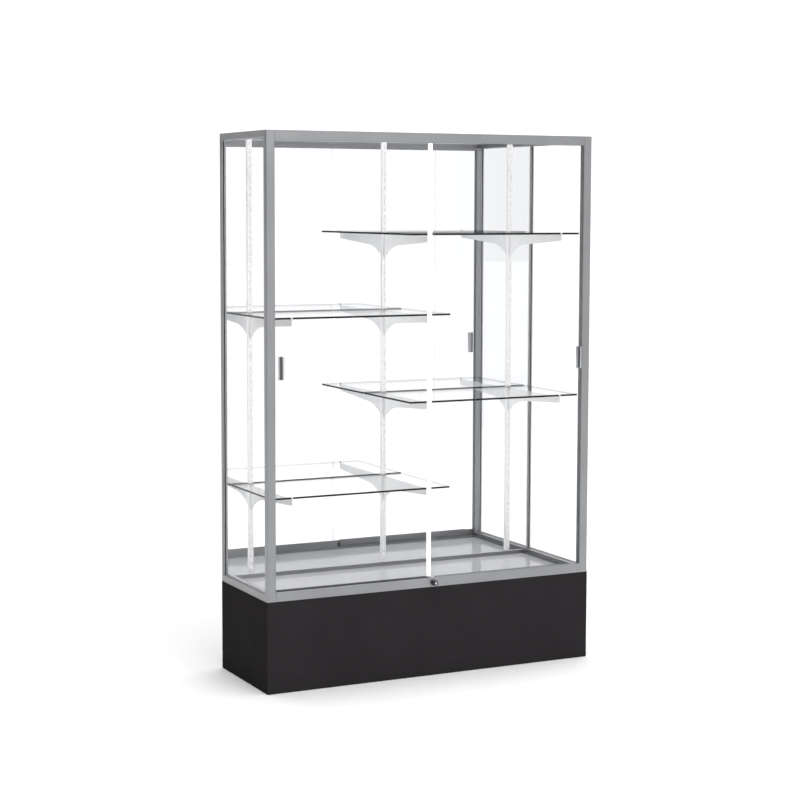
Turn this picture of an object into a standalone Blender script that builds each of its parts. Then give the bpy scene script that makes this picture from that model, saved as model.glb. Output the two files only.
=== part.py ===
"""Floor-standing display case: plinth, aluminium frame, glass sides and top,
mirror back, two by-pass sliding glass doors, plunger lock, slotted standards,
lipped brackets and four half-length glass shelves.

Frame of the model: +Z up, +X to the viewer's right, the doors face -Y. The
origin is on the floor, under the middle of the case. Values are in metres.
"""

import math

import bmesh
import bpy
from mathutils import Matrix, Vector

MM = 0.001

# Overall sizes
CASE_WIDTH = 1219.2 * MM
CASE_DEPTH = 406.4 * MM
CASE_HEIGHT = 1828.8 * MM
PLINTH_HEIGHT = 304.8 * MM
FIT_GAP = 0.3 * MM

# Plinth and deck
BOARD = 18.0 * MM
DECK_THICKNESS = 3.0 * MM
BOARD_EDGE = 0.8 * MM

# Frame members
FRAME_FACE = 31.75 * MM
FRAME_INSET = 0.8 * MM
POST_CORNER = 3.0 * MM
RAIL_CORNER = 1.8 * MM
SIDE_DEPTH = 22.2 * MM
REAR_FACE = 14.6 * MM
REAR_LIP = 8.0 * MM
REAR_LIP_THICKNESS = 4.0 * MM
RAIL_WALL = 2.2 * MM
RAIL_BASE = 2.5 * MM
RAIL_UPSTAND = 10.0 * MM
RAIL_UPSTAND_WALL = 1.5 * MM
TOP_RAIL_CROWN = 16.8 * MM
FRAME_EDGE = 0.5 * MM

# Fixed panes, mirror and backing
GLASS = 4.8 * MM
GLASS_INSET = 6.0 * MM
GLASS_BITE = 6.0 * MM
GLASS_EDGE = 0.5 * MM
TOP_REBATE = 6.0 * MM
TOP_PANE_DROP = 0.5 * MM
MIRROR_SETBACK = 1.9 * MM
MIRROR = 3.2 * MM
BACKING = 3.2 * MM

# Sliding doors
SHOE_CLEARANCE = 0.7 * MM
PULL_CLEARANCE = 0.9 * MM
DOOR_SIDE_GAP = 1.5 * MM
DOOR_SEAM_X = -7.0 * MM
DOOR_OVERLAP = 34.0 * MM
DOOR_TOP_BITE = 7.0 * MM
DOOR_TRAVEL = 550.0 * MM
SHOE_WALL = 1.2 * MM
SHOE_WEB = 3.0 * MM
SHOE_GRIP = 13.0 * MM
SHOE_CENTRE_GAP = 8.0 * MM
SHOE_END_MARGIN = 4.0 * MM
SHOE_TIP_MARGIN = 1.0 * MM
SHOE_BOTTOM_GAP = 1.0 * MM
ROLLER_RADIUS = 5.5 * MM
ROLLER_WIDTH = 4.6 * MM
ROLLER_END_DISTANCE = 50.0 * MM
AXLE_RADIUS = 1.5 * MM
PULL_WIDTH = 18.0 * MM
PULL_HEIGHT = 76.2 * MM
PULL_DEPTH = 7.5 * MM
PULL_BASE = 1.5 * MM
PULL_FLANGE = 2.0 * MM
PULL_GRIP = 6.0 * MM
PULL_CENTRE_Z = 1065.0 * MM
LEFT_PULL_MARGIN = 17.0 * MM
RIGHT_PULL_MARGIN = 3.0 * MM

# Door tracks
TRACK_BASE = 1.5 * MM
TRACK_RIB_WIDTH = 2.0 * MM
TRACK_RIB_HEIGHT = 2.0 * MM
TRACK_CROWN = 2.0 * MM
TRACK_FIN = 1.2 * MM
TRACK_CLEARANCE = 0.7 * MM

# Lock
LOCK_Z_ABOVE_PLINTH = 14.2 * MM
LOCK_TRAVEL = 11.5 * MM
LOCK_BARREL_WALL = 1.3 * MM
LOCK_FLANGE_RIM = 1.2 * MM
LOCK_FLANGE = 2.0 * MM
LOCK_BARREL_LENGTH = 9.3 * MM
LOCK_NECK_WALL = 0.9 * MM
LOCK_HEAD_RADIUS = 8.0 * MM
LOCK_HEAD_LENGTH = 8.0 * MM
LOCK_HEAD_ENGAGED = 0.5 * MM
LOCK_PIN_RADIUS = 2.9 * MM
LOCK_PIN_TIP_GAP = 0.4 * MM
LOCK_CORE_RADIUS = 4.6 * MM
LOCK_CORE_DEPTH = 5.5 * MM
LOCK_KEYWAY = (1.2 * MM, 3.0 * MM, 6.0 * MM)
KEEPER_WIDTH = 6.0 * MM
KEEPER_CLEARANCE = 0.5 * MM
KEEPER_HEIGHT = 12.0 * MM

# Slotted standards
STANDARD_WIDTH = 15.9 * MM
STANDARD_DEPTH = 7.2 * MM
STANDARD_WALL = 1.6 * MM
STANDARD_SIDE_OFFSET = 101.6 * MM
STANDARD_END_GAP = 7.0 * MM
STANDARD_TOP_GAP = 3.0 * MM
SLOT_PITCH = 24.5 * MM
SLOT_LENGTH = 17.0 * MM
SLOT_WIDTH = 5.0 * MM
SLOT_FIRST = 14.2 * MM
SLOT_END_MARGIN = 7.5 * MM

# Shelves and brackets
SHELF = 6.35 * MM
SHELF_SIDE_MARGIN = 29.0 * MM
SHELF_PAST_MIDDLE = 75.5 * MM
SHELF_FRONT_MARGIN = 33.2 * MM
SHELF_ABOVE_SLOT = 6.3 * MM
BRACKET = 3.0 * MM
BRACKET_TIP_DEPTH = 22.0 * MM
BRACKET_KNEE_DEPTH = 38.0 * MM
BRACKET_ROOT_DEPTH = 86.0 * MM
BRACKET_KNEE_LENGTH = 123.0 * MM
BRACKET_LIP = 3.0 * MM
BRACKET_LIP_RISE = 1.0 * MM
BRACKET_TIP_RADIUS = 7.0 * MM
BRACKET_SLOT_STEP = 2
HOOK_HEIGHT = 9.0 * MM
HOOK_DROP = 4.0 * MM
HOOK_TOOTH = 3.0 * MM
HOOK_CLEARANCE = 0.4 * MM

# How high each shelf hangs, as a share of the slots in a standard
SHELF_SHARES = {
    "lower_left": 0.19,
    "lower_right": 0.39,
    "upper_left": 0.59,
    "upper_right": 0.77,
}

# Places worked out from the sizes above
HALF_WIDTH = CASE_WIDTH / 2
HALF_DEPTH = CASE_DEPTH / 2
FRONT_Y = -HALF_DEPTH
FRAME_X = HALF_WIDTH - FRAME_INSET
FRAME_Y = FRONT_Y + FRAME_INSET
REAR_FRAME_Y = HALF_DEPTH - REAR_FACE
INNER_X = HALF_WIDTH - FRAME_FACE
POST_REAR_Y = FRONT_Y + SIDE_DEPTH
REAR_INNER_X = HALF_WIDTH - REAR_FACE
MIRROR_Y = REAR_FRAME_Y + MIRROR_SETBACK
STANDARD_Y = MIRROR_Y - FIT_GAP - STANDARD_DEPTH

FRONT_PANE_Y = FRAME_Y + RAIL_WALL + SHOE_CLEARANCE + SHOE_WALL + FIT_GAP
REAR_PANE_Y = FRONT_PANE_Y + GLASS + PULL_DEPTH + FIT_GAP + PULL_CLEARANCE
SHOE_HALF = GLASS / 2 + FIT_GAP + SHOE_WALL
RAIL_REAR_Y = REAR_PANE_Y + GLASS / 2 + SHOE_HALF + SHOE_WALL + RAIL_UPSTAND_WALL

RAIL_TOP_Z = PLINTH_HEIGHT + FRAME_FACE
TRACK_Z = PLINTH_HEIGHT + RAIL_BASE + FIT_GAP
RIB_TOP_Z = TRACK_Z + TRACK_BASE + TRACK_RIB_HEIGHT
AXLE_Z = RIB_TOP_Z + FIT_GAP + ROLLER_RADIUS
SHOE_WEB_Z = AXLE_Z + ROLLER_RADIUS + 2 * FIT_GAP
PANE_BOTTOM_Z = SHOE_WEB_Z + SHOE_WEB + FIT_GAP
TOP_RAIL_Z = CASE_HEIGHT - FRAME_FACE
TOP_REBATE_DEPTH = TOP_PANE_DROP + GLASS + FIT_GAP
PANE_TOP_Z = TOP_RAIL_Z + DOOR_TOP_BITE

SIDE_RAIL_TOP_Z = PLINTH_HEIGHT + SIDE_DEPTH
SIDE_HEAD_Z = CASE_HEIGHT - SIDE_DEPTH
REAR_SILL_Z = PLINTH_HEIGHT + REAR_FACE
REAR_HEAD_Z = CASE_HEIGHT - REAR_FACE

STANDARD_BOTTOM_Z = REAR_SILL_Z + STANDARD_END_GAP
FIRST_SLOT_Z = STANDARD_BOTTOM_Z + SLOT_FIRST
SLOT_ROOM = REAR_HEAD_Z - STANDARD_TOP_GAP - SLOT_END_MARGIN - SLOT_LENGTH - FIRST_SLOT_Z
SLOT_COUNT = int(SLOT_ROOM / SLOT_PITCH) + 1
STANDARD_TOP_Z = FIRST_SLOT_Z + (SLOT_COUNT - 1) * SLOT_PITCH + SLOT_LENGTH + SLOT_END_MARGIN
STANDARD_X = {
    "left": -HALF_WIDTH + STANDARD_SIDE_OFFSET,
    "centre": 0.0,
    "right": HALF_WIDTH - STANDARD_SIDE_OFFSET,
}
SHELF_FRONT_Y = FRONT_Y + SHELF_FRONT_MARGIN

LOCK_Z = PLINTH_HEIGHT + LOCK_Z_ABOVE_PLINTH
LOCK_BORE = LOCK_HEAD_RADIUS + FIT_GAP
LOCK_NECK_RADIUS = LOCK_BORE + LOCK_NECK_WALL
LOCK_BARREL_RADIUS = LOCK_BORE + LOCK_BARREL_WALL
LOCK_FLANGE_RADIUS = LOCK_BARREL_RADIUS + LOCK_FLANGE_RIM

AXIS_TURNS = {
    "X": Matrix(((0, 0, 1), (1, 0, 0), (0, 1, 0))),
    "Y": Matrix(((1, 0, 0), (0, 0, -1), (0, 1, 0))),
    "Z": Matrix.Identity(3),
}


# ---------------------------------------------------------------- materials

def finish(name, colour, roughness, metallic=0.0, alpha=1.0):
    """A Principled material with one colour."""
    material = bpy.data.materials.new(name)
    material.use_nodes = True
    shader = material.node_tree.nodes["Principled BSDF"]
    shader.inputs["Base Color"].default_value = (*colour, 1.0)
    shader.inputs["Roughness"].default_value = roughness
    shader.inputs["Metallic"].default_value = metallic
    shader.inputs["Alpha"].default_value = alpha
    material.diffuse_color = (*colour, alpha)
    return material


def make_finishes():
    """Every finish on the case, by name."""
    return {
        "black_laminate": finish("black_laminate", (0.012, 0.011, 0.012), 0.45),
        "grey_laminate": finish("grey_laminate", (0.42, 0.42, 0.43), 0.12),
        "satin_aluminium": finish("satin_aluminium", (0.52, 0.52, 0.53), 0.35, 1.0),
        "clear_glass": finish("clear_glass", (0.90, 0.95, 0.93), 0.03, 0.0, 0.25),
        "mirror_glass": finish("mirror_glass", (0.93, 0.93, 0.94), 0.02, 1.0),
        "grey_hardboard": finish("grey_hardboard", (0.20, 0.20, 0.20), 0.8),
        "white_enamel": finish("white_enamel", (0.86, 0.86, 0.86), 0.3),
        "track_plastic": finish("track_plastic", (0.25, 0.25, 0.26), 0.5),
        "roller_nylon": finish("roller_nylon", (0.80, 0.80, 0.76), 0.4),
        "steel_pin": finish("steel_pin", (0.55, 0.55, 0.56), 0.3, 1.0),
        "polished_chrome": finish("polished_chrome", (0.80, 0.80, 0.82), 0.08, 1.0),
    }


# ------------------------------------------------------------ shape helpers

class Workshop:
    """Makes objects, gives them a finish and files them in the case's collections."""

    def __init__(self):
        self.finishes = make_finishes()
        self.parts = bpy.data.collections.new("display_case")
        self.cutters = bpy.data.collections.new("cutters")
        for collection in (self.parts, self.cutters):
            bpy.context.scene.collection.children.link(collection)

    def file_part(self, obj, finish_name, parent=None):
        """Puts a finished piece in the collection of parts."""
        obj.data.materials.clear()
        obj.data.materials.append(self.finishes[finish_name])
        self.parts.objects.link(obj)
        obj.parent = parent
        return obj

    def file_cutter(self, obj):
        """Puts a guide in the collection of cutters, hidden from renders."""
        obj.display_type = "WIRE"
        obj.hide_render = True
        self.cutters.objects.link(obj)
        return obj


def box_object(name, low, high):
    """A box between two corners, with its origin at its middle."""
    low, high = Vector(low), Vector(high)
    mesh = bpy.data.meshes.new(name)
    shape = bmesh.new()
    bmesh.ops.create_cube(shape, size=1.0)
    bmesh.ops.scale(shape, vec=high - low, verts=shape.verts)
    shape.to_mesh(mesh)
    shape.free()
    obj = bpy.data.objects.new(name, mesh)
    obj.location = (low + high) / 2
    return obj


def cylinder_object(name, centre, axis, radius, length, segments=32):
    """A round bar with its middle at centre."""
    mesh = bpy.data.meshes.new(name)
    shape = bmesh.new()
    bmesh.ops.create_cone(
        shape, cap_ends=True, segments=segments, radius1=radius, radius2=radius, depth=length
    )
    shape.to_mesh(mesh)
    shape.free()
    mesh.shade_smooth()
    mesh.set_sharp_from_angle(angle=math.radians(40))
    obj = bpy.data.objects.new(name, mesh)
    obj.matrix_world = Matrix.Translation(centre) @ AXIS_TURNS[axis].to_4x4()
    return obj


def extrusion_object(name, outline, axis, low, high):
    """A flat outline drawn out along an axis from low to high.

    The outline's two coordinates are (y, z) for X, (x, z) for Y and (x, y) for Z.
    """
    curve = bpy.data.curves.new(name, "CURVE")
    curve.dimensions = "2D"
    curve.fill_mode = "BOTH"
    curve.extrude = (high - low) / 2
    spline = curve.splines.new("POLY")
    spline.points.add(len(outline) - 1)
    for point, (u, v) in zip(spline.points, outline):
        point.co = (u, v, 0.0, 1.0)
    spline.use_cyclic_u = True
    drawn = bpy.data.objects.new(f"{name}_outline", curve)
    bpy.context.scene.collection.objects.link(drawn)
    middle = {"X": ((low + high) / 2, 0, 0), "Y": (0, (low + high) / 2, 0)}
    place = Vector(middle.get(axis, (0, 0, (low + high) / 2)))
    drawn.matrix_world = Matrix.Translation(place) @ AXIS_TURNS[axis].to_4x4()
    bpy.context.view_layer.update()
    evaluated = drawn.evaluated_get(bpy.context.evaluated_depsgraph_get())
    mesh = bpy.data.meshes.new_from_object(evaluated)
    shape = bmesh.new()
    shape.from_mesh(mesh)
    bmesh.ops.remove_doubles(shape, verts=shape.verts, dist=0.01 * MM)
    bmesh.ops.dissolve_limit(
        shape, angle_limit=math.radians(0.5), verts=shape.verts, edges=shape.edges
    )
    bmesh.ops.recalc_face_normals(shape, faces=shape.faces)
    shape.to_mesh(mesh)
    shape.free()
    solid = bpy.data.objects.new(name, mesh)
    solid.matrix_world = drawn.matrix_world
    bpy.data.objects.remove(drawn)
    return solid


def turned_object(name, profile, segments=32):
    """A closed (radius, along) profile turned about the Y axis, along pointing to +Y."""
    mesh = bpy.data.meshes.new(name)
    shape = bmesh.new()
    points = [shape.verts.new((radius, 0.0, along)) for radius, along in profile]
    for first, second in zip(points, points[1:]):
        shape.edges.new((first, second))
    if profile[0][0] > 0:
        shape.edges.new((points[-1], points[0]))
    shape.to_mesh(mesh)
    shape.free()
    obj = bpy.data.objects.new(name, mesh)
    obj.matrix_world = Matrix.Rotation(math.radians(-90), 4, "X")
    screw = obj.modifiers.new("turn", "SCREW")
    screw.axis = "Z"
    screw.steps = segments
    screw.render_steps = segments
    screw.use_merge_vertices = True
    screw.merge_threshold = 0.01 * MM
    screw.use_smooth_shade = True
    return obj


def ease_edges(obj, width):
    """Breaks the outward corners of a piece; inward corners stay sharp."""
    shape = bmesh.new()
    shape.from_mesh(obj.data)
    weight = shape.edges.layers.float.new("bevel_weight_edge")
    for edge in shape.edges:
        outward = edge.is_convex and edge.calc_face_angle(0.0) > math.radians(50)
        edge[weight] = 1.0 if outward else 0.0
    shape.to_mesh(obj.data)
    shape.free()
    bevel = obj.modifiers.new("eased_edges", "BEVEL")
    bevel.width = width
    bevel.segments = 1
    bevel.limit_method = "WEIGHT"
    return obj


def cut_with(obj, cutter):
    """Takes a cutter's shape out of a piece."""
    cut = obj.modifiers.new(cutter.name, "BOOLEAN")
    cut.operation = "DIFFERENCE"
    cut.object = cutter
    return obj


def arc_points(centre, radius, start, end, steps):
    """Points on a circle from one angle to another, in degrees."""
    angles = [math.radians(start + (end - start) * step / steps) for step in range(steps + 1)]
    return [
        (centre[0] + radius * math.cos(angle), centre[1] + radius * math.sin(angle))
        for angle in angles
    ]


def mirrored(outline, side):
    """The outline for the right-hand side (+1), or its mirror image for the left (-1)."""
    if side > 0:
        return outline
    return [(-u, v) for u, v in reversed(outline)]


def empty(shop, name, place):
    """A holder that moving pieces hang on."""
    holder = bpy.data.objects.new(name, None)
    holder.location = place
    shop.parts.objects.link(holder)
    return holder


def hang(obj, holder):
    """Parents a piece to a holder and keeps it where it stands."""
    bpy.context.view_layer.update()
    obj.parent = holder
    obj.matrix_parent_inverse = holder.matrix_world.inverted()


# ------------------------------------------------------------------- plinth

def build_plinth(shop):
    """Four boards, a centre brace, the top board and the grey deck."""
    top = PLINTH_HEIGHT - FIT_GAP
    side_inner = HALF_WIDTH - BOARD
    end_inner = HALF_DEPTH - BOARD
    between = end_inner - FIT_GAP
    boards = {
        "plinth_front": ((-HALF_WIDTH, -HALF_DEPTH, 0), (HALF_WIDTH, -end_inner, top)),
        "plinth_back": ((-HALF_WIDTH, end_inner, 0), (HALF_WIDTH, HALF_DEPTH, top)),
        "plinth_left": ((-HALF_WIDTH, -between, 0), (-side_inner, between, top)),
        "plinth_right": ((side_inner, -between, 0), (HALF_WIDTH, between, top)),
        "plinth_brace": (
            (-BOARD / 2, -between, 0),
            (BOARD / 2, between, top - BOARD - FIT_GAP),
        ),
        "plinth_top": (
            (-side_inner + FIT_GAP, -between, top - BOARD),
            (side_inner - FIT_GAP, between, top),
        ),
    }
    for name, (low, high) in boards.items():
        board = shop.file_part(box_object(name, low, high), "black_laminate")
        ease_edges(board, BOARD_EDGE)
    deck = box_object(
        "deck_panel",
        (-INNER_X + FIT_GAP, RAIL_REAR_Y + FIT_GAP, PLINTH_HEIGHT),
        (INNER_X - FIT_GAP, REAR_FRAME_Y - FIT_GAP, PLINTH_HEIGHT + DECK_THICKNESS),
    )
    shop.file_part(deck, "grey_laminate")


# -------------------------------------------------------------------- frame

def glass_slot():
    """The two sides and the depth of the groove that a side pane stands in."""
    outer = HALF_WIDTH - GLASS_INSET + FIT_GAP
    inner = HALF_WIDTH - GLASS_INSET - GLASS - FIT_GAP
    return inner, outer, GLASS_BITE + FIT_GAP


def front_post_outline():
    """Plan of the right front post: rounded outside, grooved behind for the side pane."""
    inner, outer, bite = glass_slot()
    corner = (FRAME_X - POST_CORNER, FRAME_Y + POST_CORNER)
    return [
        (INNER_X, FRAME_Y),
        *arc_points(corner, POST_CORNER, -90, 0, 4),
        (FRAME_X, POST_REAR_Y),
        (outer, POST_REAR_Y),
        (outer, POST_REAR_Y - bite),
        (inner, POST_REAR_Y - bite),
        (inner, POST_REAR_Y),
        (INNER_X, POST_REAR_Y),
    ]


def rear_post_outline():
    """Plan of the right rear post: grooved for the side pane, lipped for the back."""
    inner, outer, bite = glass_slot()
    lip_y = HALF_DEPTH - REAR_LIP_THICKNESS
    lip_x = REAR_INNER_X - REAR_LIP
    return [
        (lip_x, lip_y),
        (REAR_INNER_X, lip_y),
        (REAR_INNER_X, REAR_FRAME_Y),
        (inner, REAR_FRAME_Y),
        (inner, REAR_FRAME_Y + bite),
        (outer, REAR_FRAME_Y + bite),
        (outer, REAR_FRAME_Y),
        (FRAME_X, REAR_FRAME_Y),
        (FRAME_X, HALF_DEPTH),
        (lip_x, HALF_DEPTH),
    ]


def post_edge_outline():
    """Plan of what comes off the right front post to round its inner front corner."""
    centre = (INNER_X + POST_CORNER, FRAME_Y + POST_CORNER)
    return [
        (INNER_X - FIT_GAP, FRAME_Y - FIT_GAP),
        (centre[0], FRAME_Y - FIT_GAP),
        *arc_points(centre, POST_CORNER, 270, 180, 4),
        (INNER_X - FIT_GAP, centre[1]),
    ]


def bottom_side_outline():
    """Section of the right sill, grooved on top for the side pane."""
    inner, outer, bite = glass_slot()
    corner = (FRAME_X - RAIL_CORNER, SIDE_RAIL_TOP_Z - RAIL_CORNER)
    return [
        (INNER_X, PLINTH_HEIGHT),
        (FRAME_X, PLINTH_HEIGHT),
        *arc_points(corner, RAIL_CORNER, 0, 90, 3),
        (outer, SIDE_RAIL_TOP_Z),
        (outer, SIDE_RAIL_TOP_Z - bite),
        (inner, SIDE_RAIL_TOP_Z - bite),
        (inner, SIDE_RAIL_TOP_Z),
        (INNER_X, SIDE_RAIL_TOP_Z),
    ]


def top_side_outline():
    """Section of the right head rail: grooved below, rebated above for the top pane."""
    inner, outer, bite = glass_slot()
    ledge = CASE_HEIGHT - TOP_REBATE_DEPTH
    corner = (FRAME_X - RAIL_CORNER, SIDE_HEAD_Z + RAIL_CORNER)
    return [
        (INNER_X, SIDE_HEAD_Z),
        (inner, SIDE_HEAD_Z),
        (inner, SIDE_HEAD_Z + bite),
        (outer, SIDE_HEAD_Z + bite),
        (outer, SIDE_HEAD_Z),
        *arc_points(corner, RAIL_CORNER, 270, 360, 3),
        (FRAME_X, CASE_HEIGHT),
        (INNER_X + TOP_REBATE, CASE_HEIGHT),
        (INNER_X + TOP_REBATE, ledge),
        (INNER_X, ledge),
    ]


def bottom_front_outline():
    """Section of the front sill: face, base and a low upstand behind the doors."""
    base = PLINTH_HEIGHT + RAIL_BASE
    upstand_y = RAIL_REAR_Y - RAIL_UPSTAND_WALL
    corner = (FRAME_Y + RAIL_CORNER, RAIL_TOP_Z - RAIL_CORNER)
    return [
        (FRAME_Y, PLINTH_HEIGHT),
        (RAIL_REAR_Y, PLINTH_HEIGHT),
        (RAIL_REAR_Y, PLINTH_HEIGHT + RAIL_UPSTAND),
        (upstand_y, PLINTH_HEIGHT + RAIL_UPSTAND),
        (upstand_y, base),
        (FRAME_Y + RAIL_WALL, base),
        (FRAME_Y + RAIL_WALL, RAIL_TOP_Z),
        *arc_points(corner, RAIL_CORNER, 90, 180, 3),
    ]


def top_front_outline():
    """Section of the front head rail: face, and a crown rebated for the top pane."""
    crown = CASE_HEIGHT - TOP_RAIL_CROWN
    ledge = CASE_HEIGHT - TOP_REBATE_DEPTH
    corner = (FRAME_Y + RAIL_CORNER, TOP_RAIL_Z + RAIL_CORNER)
    return [
        *arc_points(corner, RAIL_CORNER, 180, 270, 3),
        (FRAME_Y + RAIL_WALL, TOP_RAIL_Z),
        (FRAME_Y + RAIL_WALL, crown),
        (RAIL_REAR_Y, crown),
        (RAIL_REAR_Y, ledge),
        (RAIL_REAR_Y - TOP_REBATE, ledge),
        (RAIL_REAR_Y - TOP_REBATE, CASE_HEIGHT),
        (FRAME_Y, CASE_HEIGHT),
    ]


def rear_rail_outlines():
    """Sections of the rear sill and of the rear head rail, rebated for the top pane."""
    back = HALF_DEPTH - REAR_LIP_THICKNESS - FIT_GAP
    ledge = CASE_HEIGHT - TOP_REBATE_DEPTH
    sill = [
        (REAR_FRAME_Y, PLINTH_HEIGHT),
        (back, PLINTH_HEIGHT),
        (back, REAR_SILL_Z),
        (REAR_FRAME_Y, REAR_SILL_Z),
    ]
    head = [
        (REAR_FRAME_Y, REAR_HEAD_Z),
        (back, REAR_HEAD_Z),
        (back, CASE_HEIGHT),
        (REAR_FRAME_Y + TOP_REBATE, CASE_HEIGHT),
        (REAR_FRAME_Y + TOP_REBATE, ledge),
        (REAR_FRAME_Y, ledge),
    ]
    return sill, head


def build_frame(shop):
    """Four posts and eight rails in satin aluminium."""
    members = []
    for side, word in ((-1, "left"), (1, "right")):
        members.append(extrusion_object(
            f"post_front_{word}", mirrored(front_post_outline(), side), "Z",
            PLINTH_HEIGHT, CASE_HEIGHT,
        ))
        members.append(extrusion_object(
            f"post_rear_{word}", mirrored(rear_post_outline(), side), "Z",
            PLINTH_HEIGHT, CASE_HEIGHT,
        ))
        for level, outline in (("bottom", bottom_side_outline()), ("top", top_side_outline())):
            members.append(extrusion_object(
                f"rail_{level}_{word}", mirrored(outline, side), "Y",
                POST_REAR_Y + FIT_GAP, REAR_FRAME_Y - FIT_GAP,
            ))
    front_reach = INNER_X - FIT_GAP
    rear_reach = REAR_INNER_X - FIT_GAP
    sill, head = rear_rail_outlines()
    bottom_front = extrusion_object(
        "rail_bottom_front", bottom_front_outline(), "X", -front_reach, front_reach
    )
    members.append(bottom_front)
    members.append(extrusion_object(
        "rail_top_front", top_front_outline(), "X", -front_reach, front_reach
    ))
    members.append(extrusion_object("rail_bottom_rear", sill, "X", -rear_reach, rear_reach))
    members.append(extrusion_object("rail_top_rear", head, "X", -rear_reach, rear_reach))
    for member in members:
        shop.file_part(member, "satin_aluminium")
        ease_edges(member, FRAME_EDGE)
    for side, word in ((-1, "left"), (1, "right")):
        edge = shop.file_cutter(extrusion_object(
            f"cut_post_edge_{word}", mirrored(post_edge_outline(), side), "Z",
            RAIL_TOP_Z, TOP_RAIL_Z,
        ))
        cut_with(bpy.data.objects[f"post_front_{word}"], edge)
    lock_hole = shop.file_cutter(cylinder_object(
        "cut_lock_hole", (0, FRAME_Y + RAIL_WALL / 2, LOCK_Z), "Y",
        LOCK_NECK_RADIUS + FIT_GAP, 3 * RAIL_WALL,
    ))
    cut_with(bottom_front, lock_hole)


# ------------------------------------------------------------- fixed panes

def build_panes(shop):
    """Side panes, top pane, mirror and the hardboard behind it."""
    side_low = POST_REAR_Y - GLASS_BITE
    side_high = REAR_FRAME_Y + GLASS_BITE
    outer = HALF_WIDTH - GLASS_INSET
    for side, word in ((-1, "left"), (1, "right")):
        edges = sorted((side * outer, side * (outer - GLASS)))
        pane = box_object(
            f"glass_{word}",
            (edges[0], side_low, SIDE_RAIL_TOP_Z - GLASS_BITE),
            (edges[1], side_high, SIDE_HEAD_Z + GLASS_BITE),
        )
        ease_edges(shop.file_part(pane, "clear_glass"), GLASS_EDGE)
    top_reach = INNER_X + TOP_REBATE - FIT_GAP
    top_z = CASE_HEIGHT - TOP_REBATE_DEPTH + FIT_GAP
    top_front = max(RAIL_REAR_Y - TOP_REBATE, POST_REAR_Y) + FIT_GAP
    top_pane = box_object(
        "glass_top",
        (-top_reach, top_front, top_z),
        (top_reach, REAR_FRAME_Y + TOP_REBATE - FIT_GAP, top_z + GLASS),
    )
    ease_edges(shop.file_part(top_pane, "clear_glass"), GLASS_EDGE)
    reach = REAR_INNER_X - FIT_GAP
    low_z, high_z = REAR_SILL_Z + FIT_GAP, REAR_HEAD_Z - FIT_GAP
    mirror = box_object(
        "mirror_back", (-reach, MIRROR_Y, low_z), (reach, MIRROR_Y + MIRROR, high_z)
    )
    shop.file_part(mirror, "mirror_glass")
    backing_y = MIRROR_Y + MIRROR + FIT_GAP
    backing = box_object(
        "back_panel", (-reach, backing_y, low_z), (reach, backing_y + BACKING, high_z)
    )
    shop.file_part(backing, "grey_hardboard")


# -------------------------------------------------------------------- doors

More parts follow.
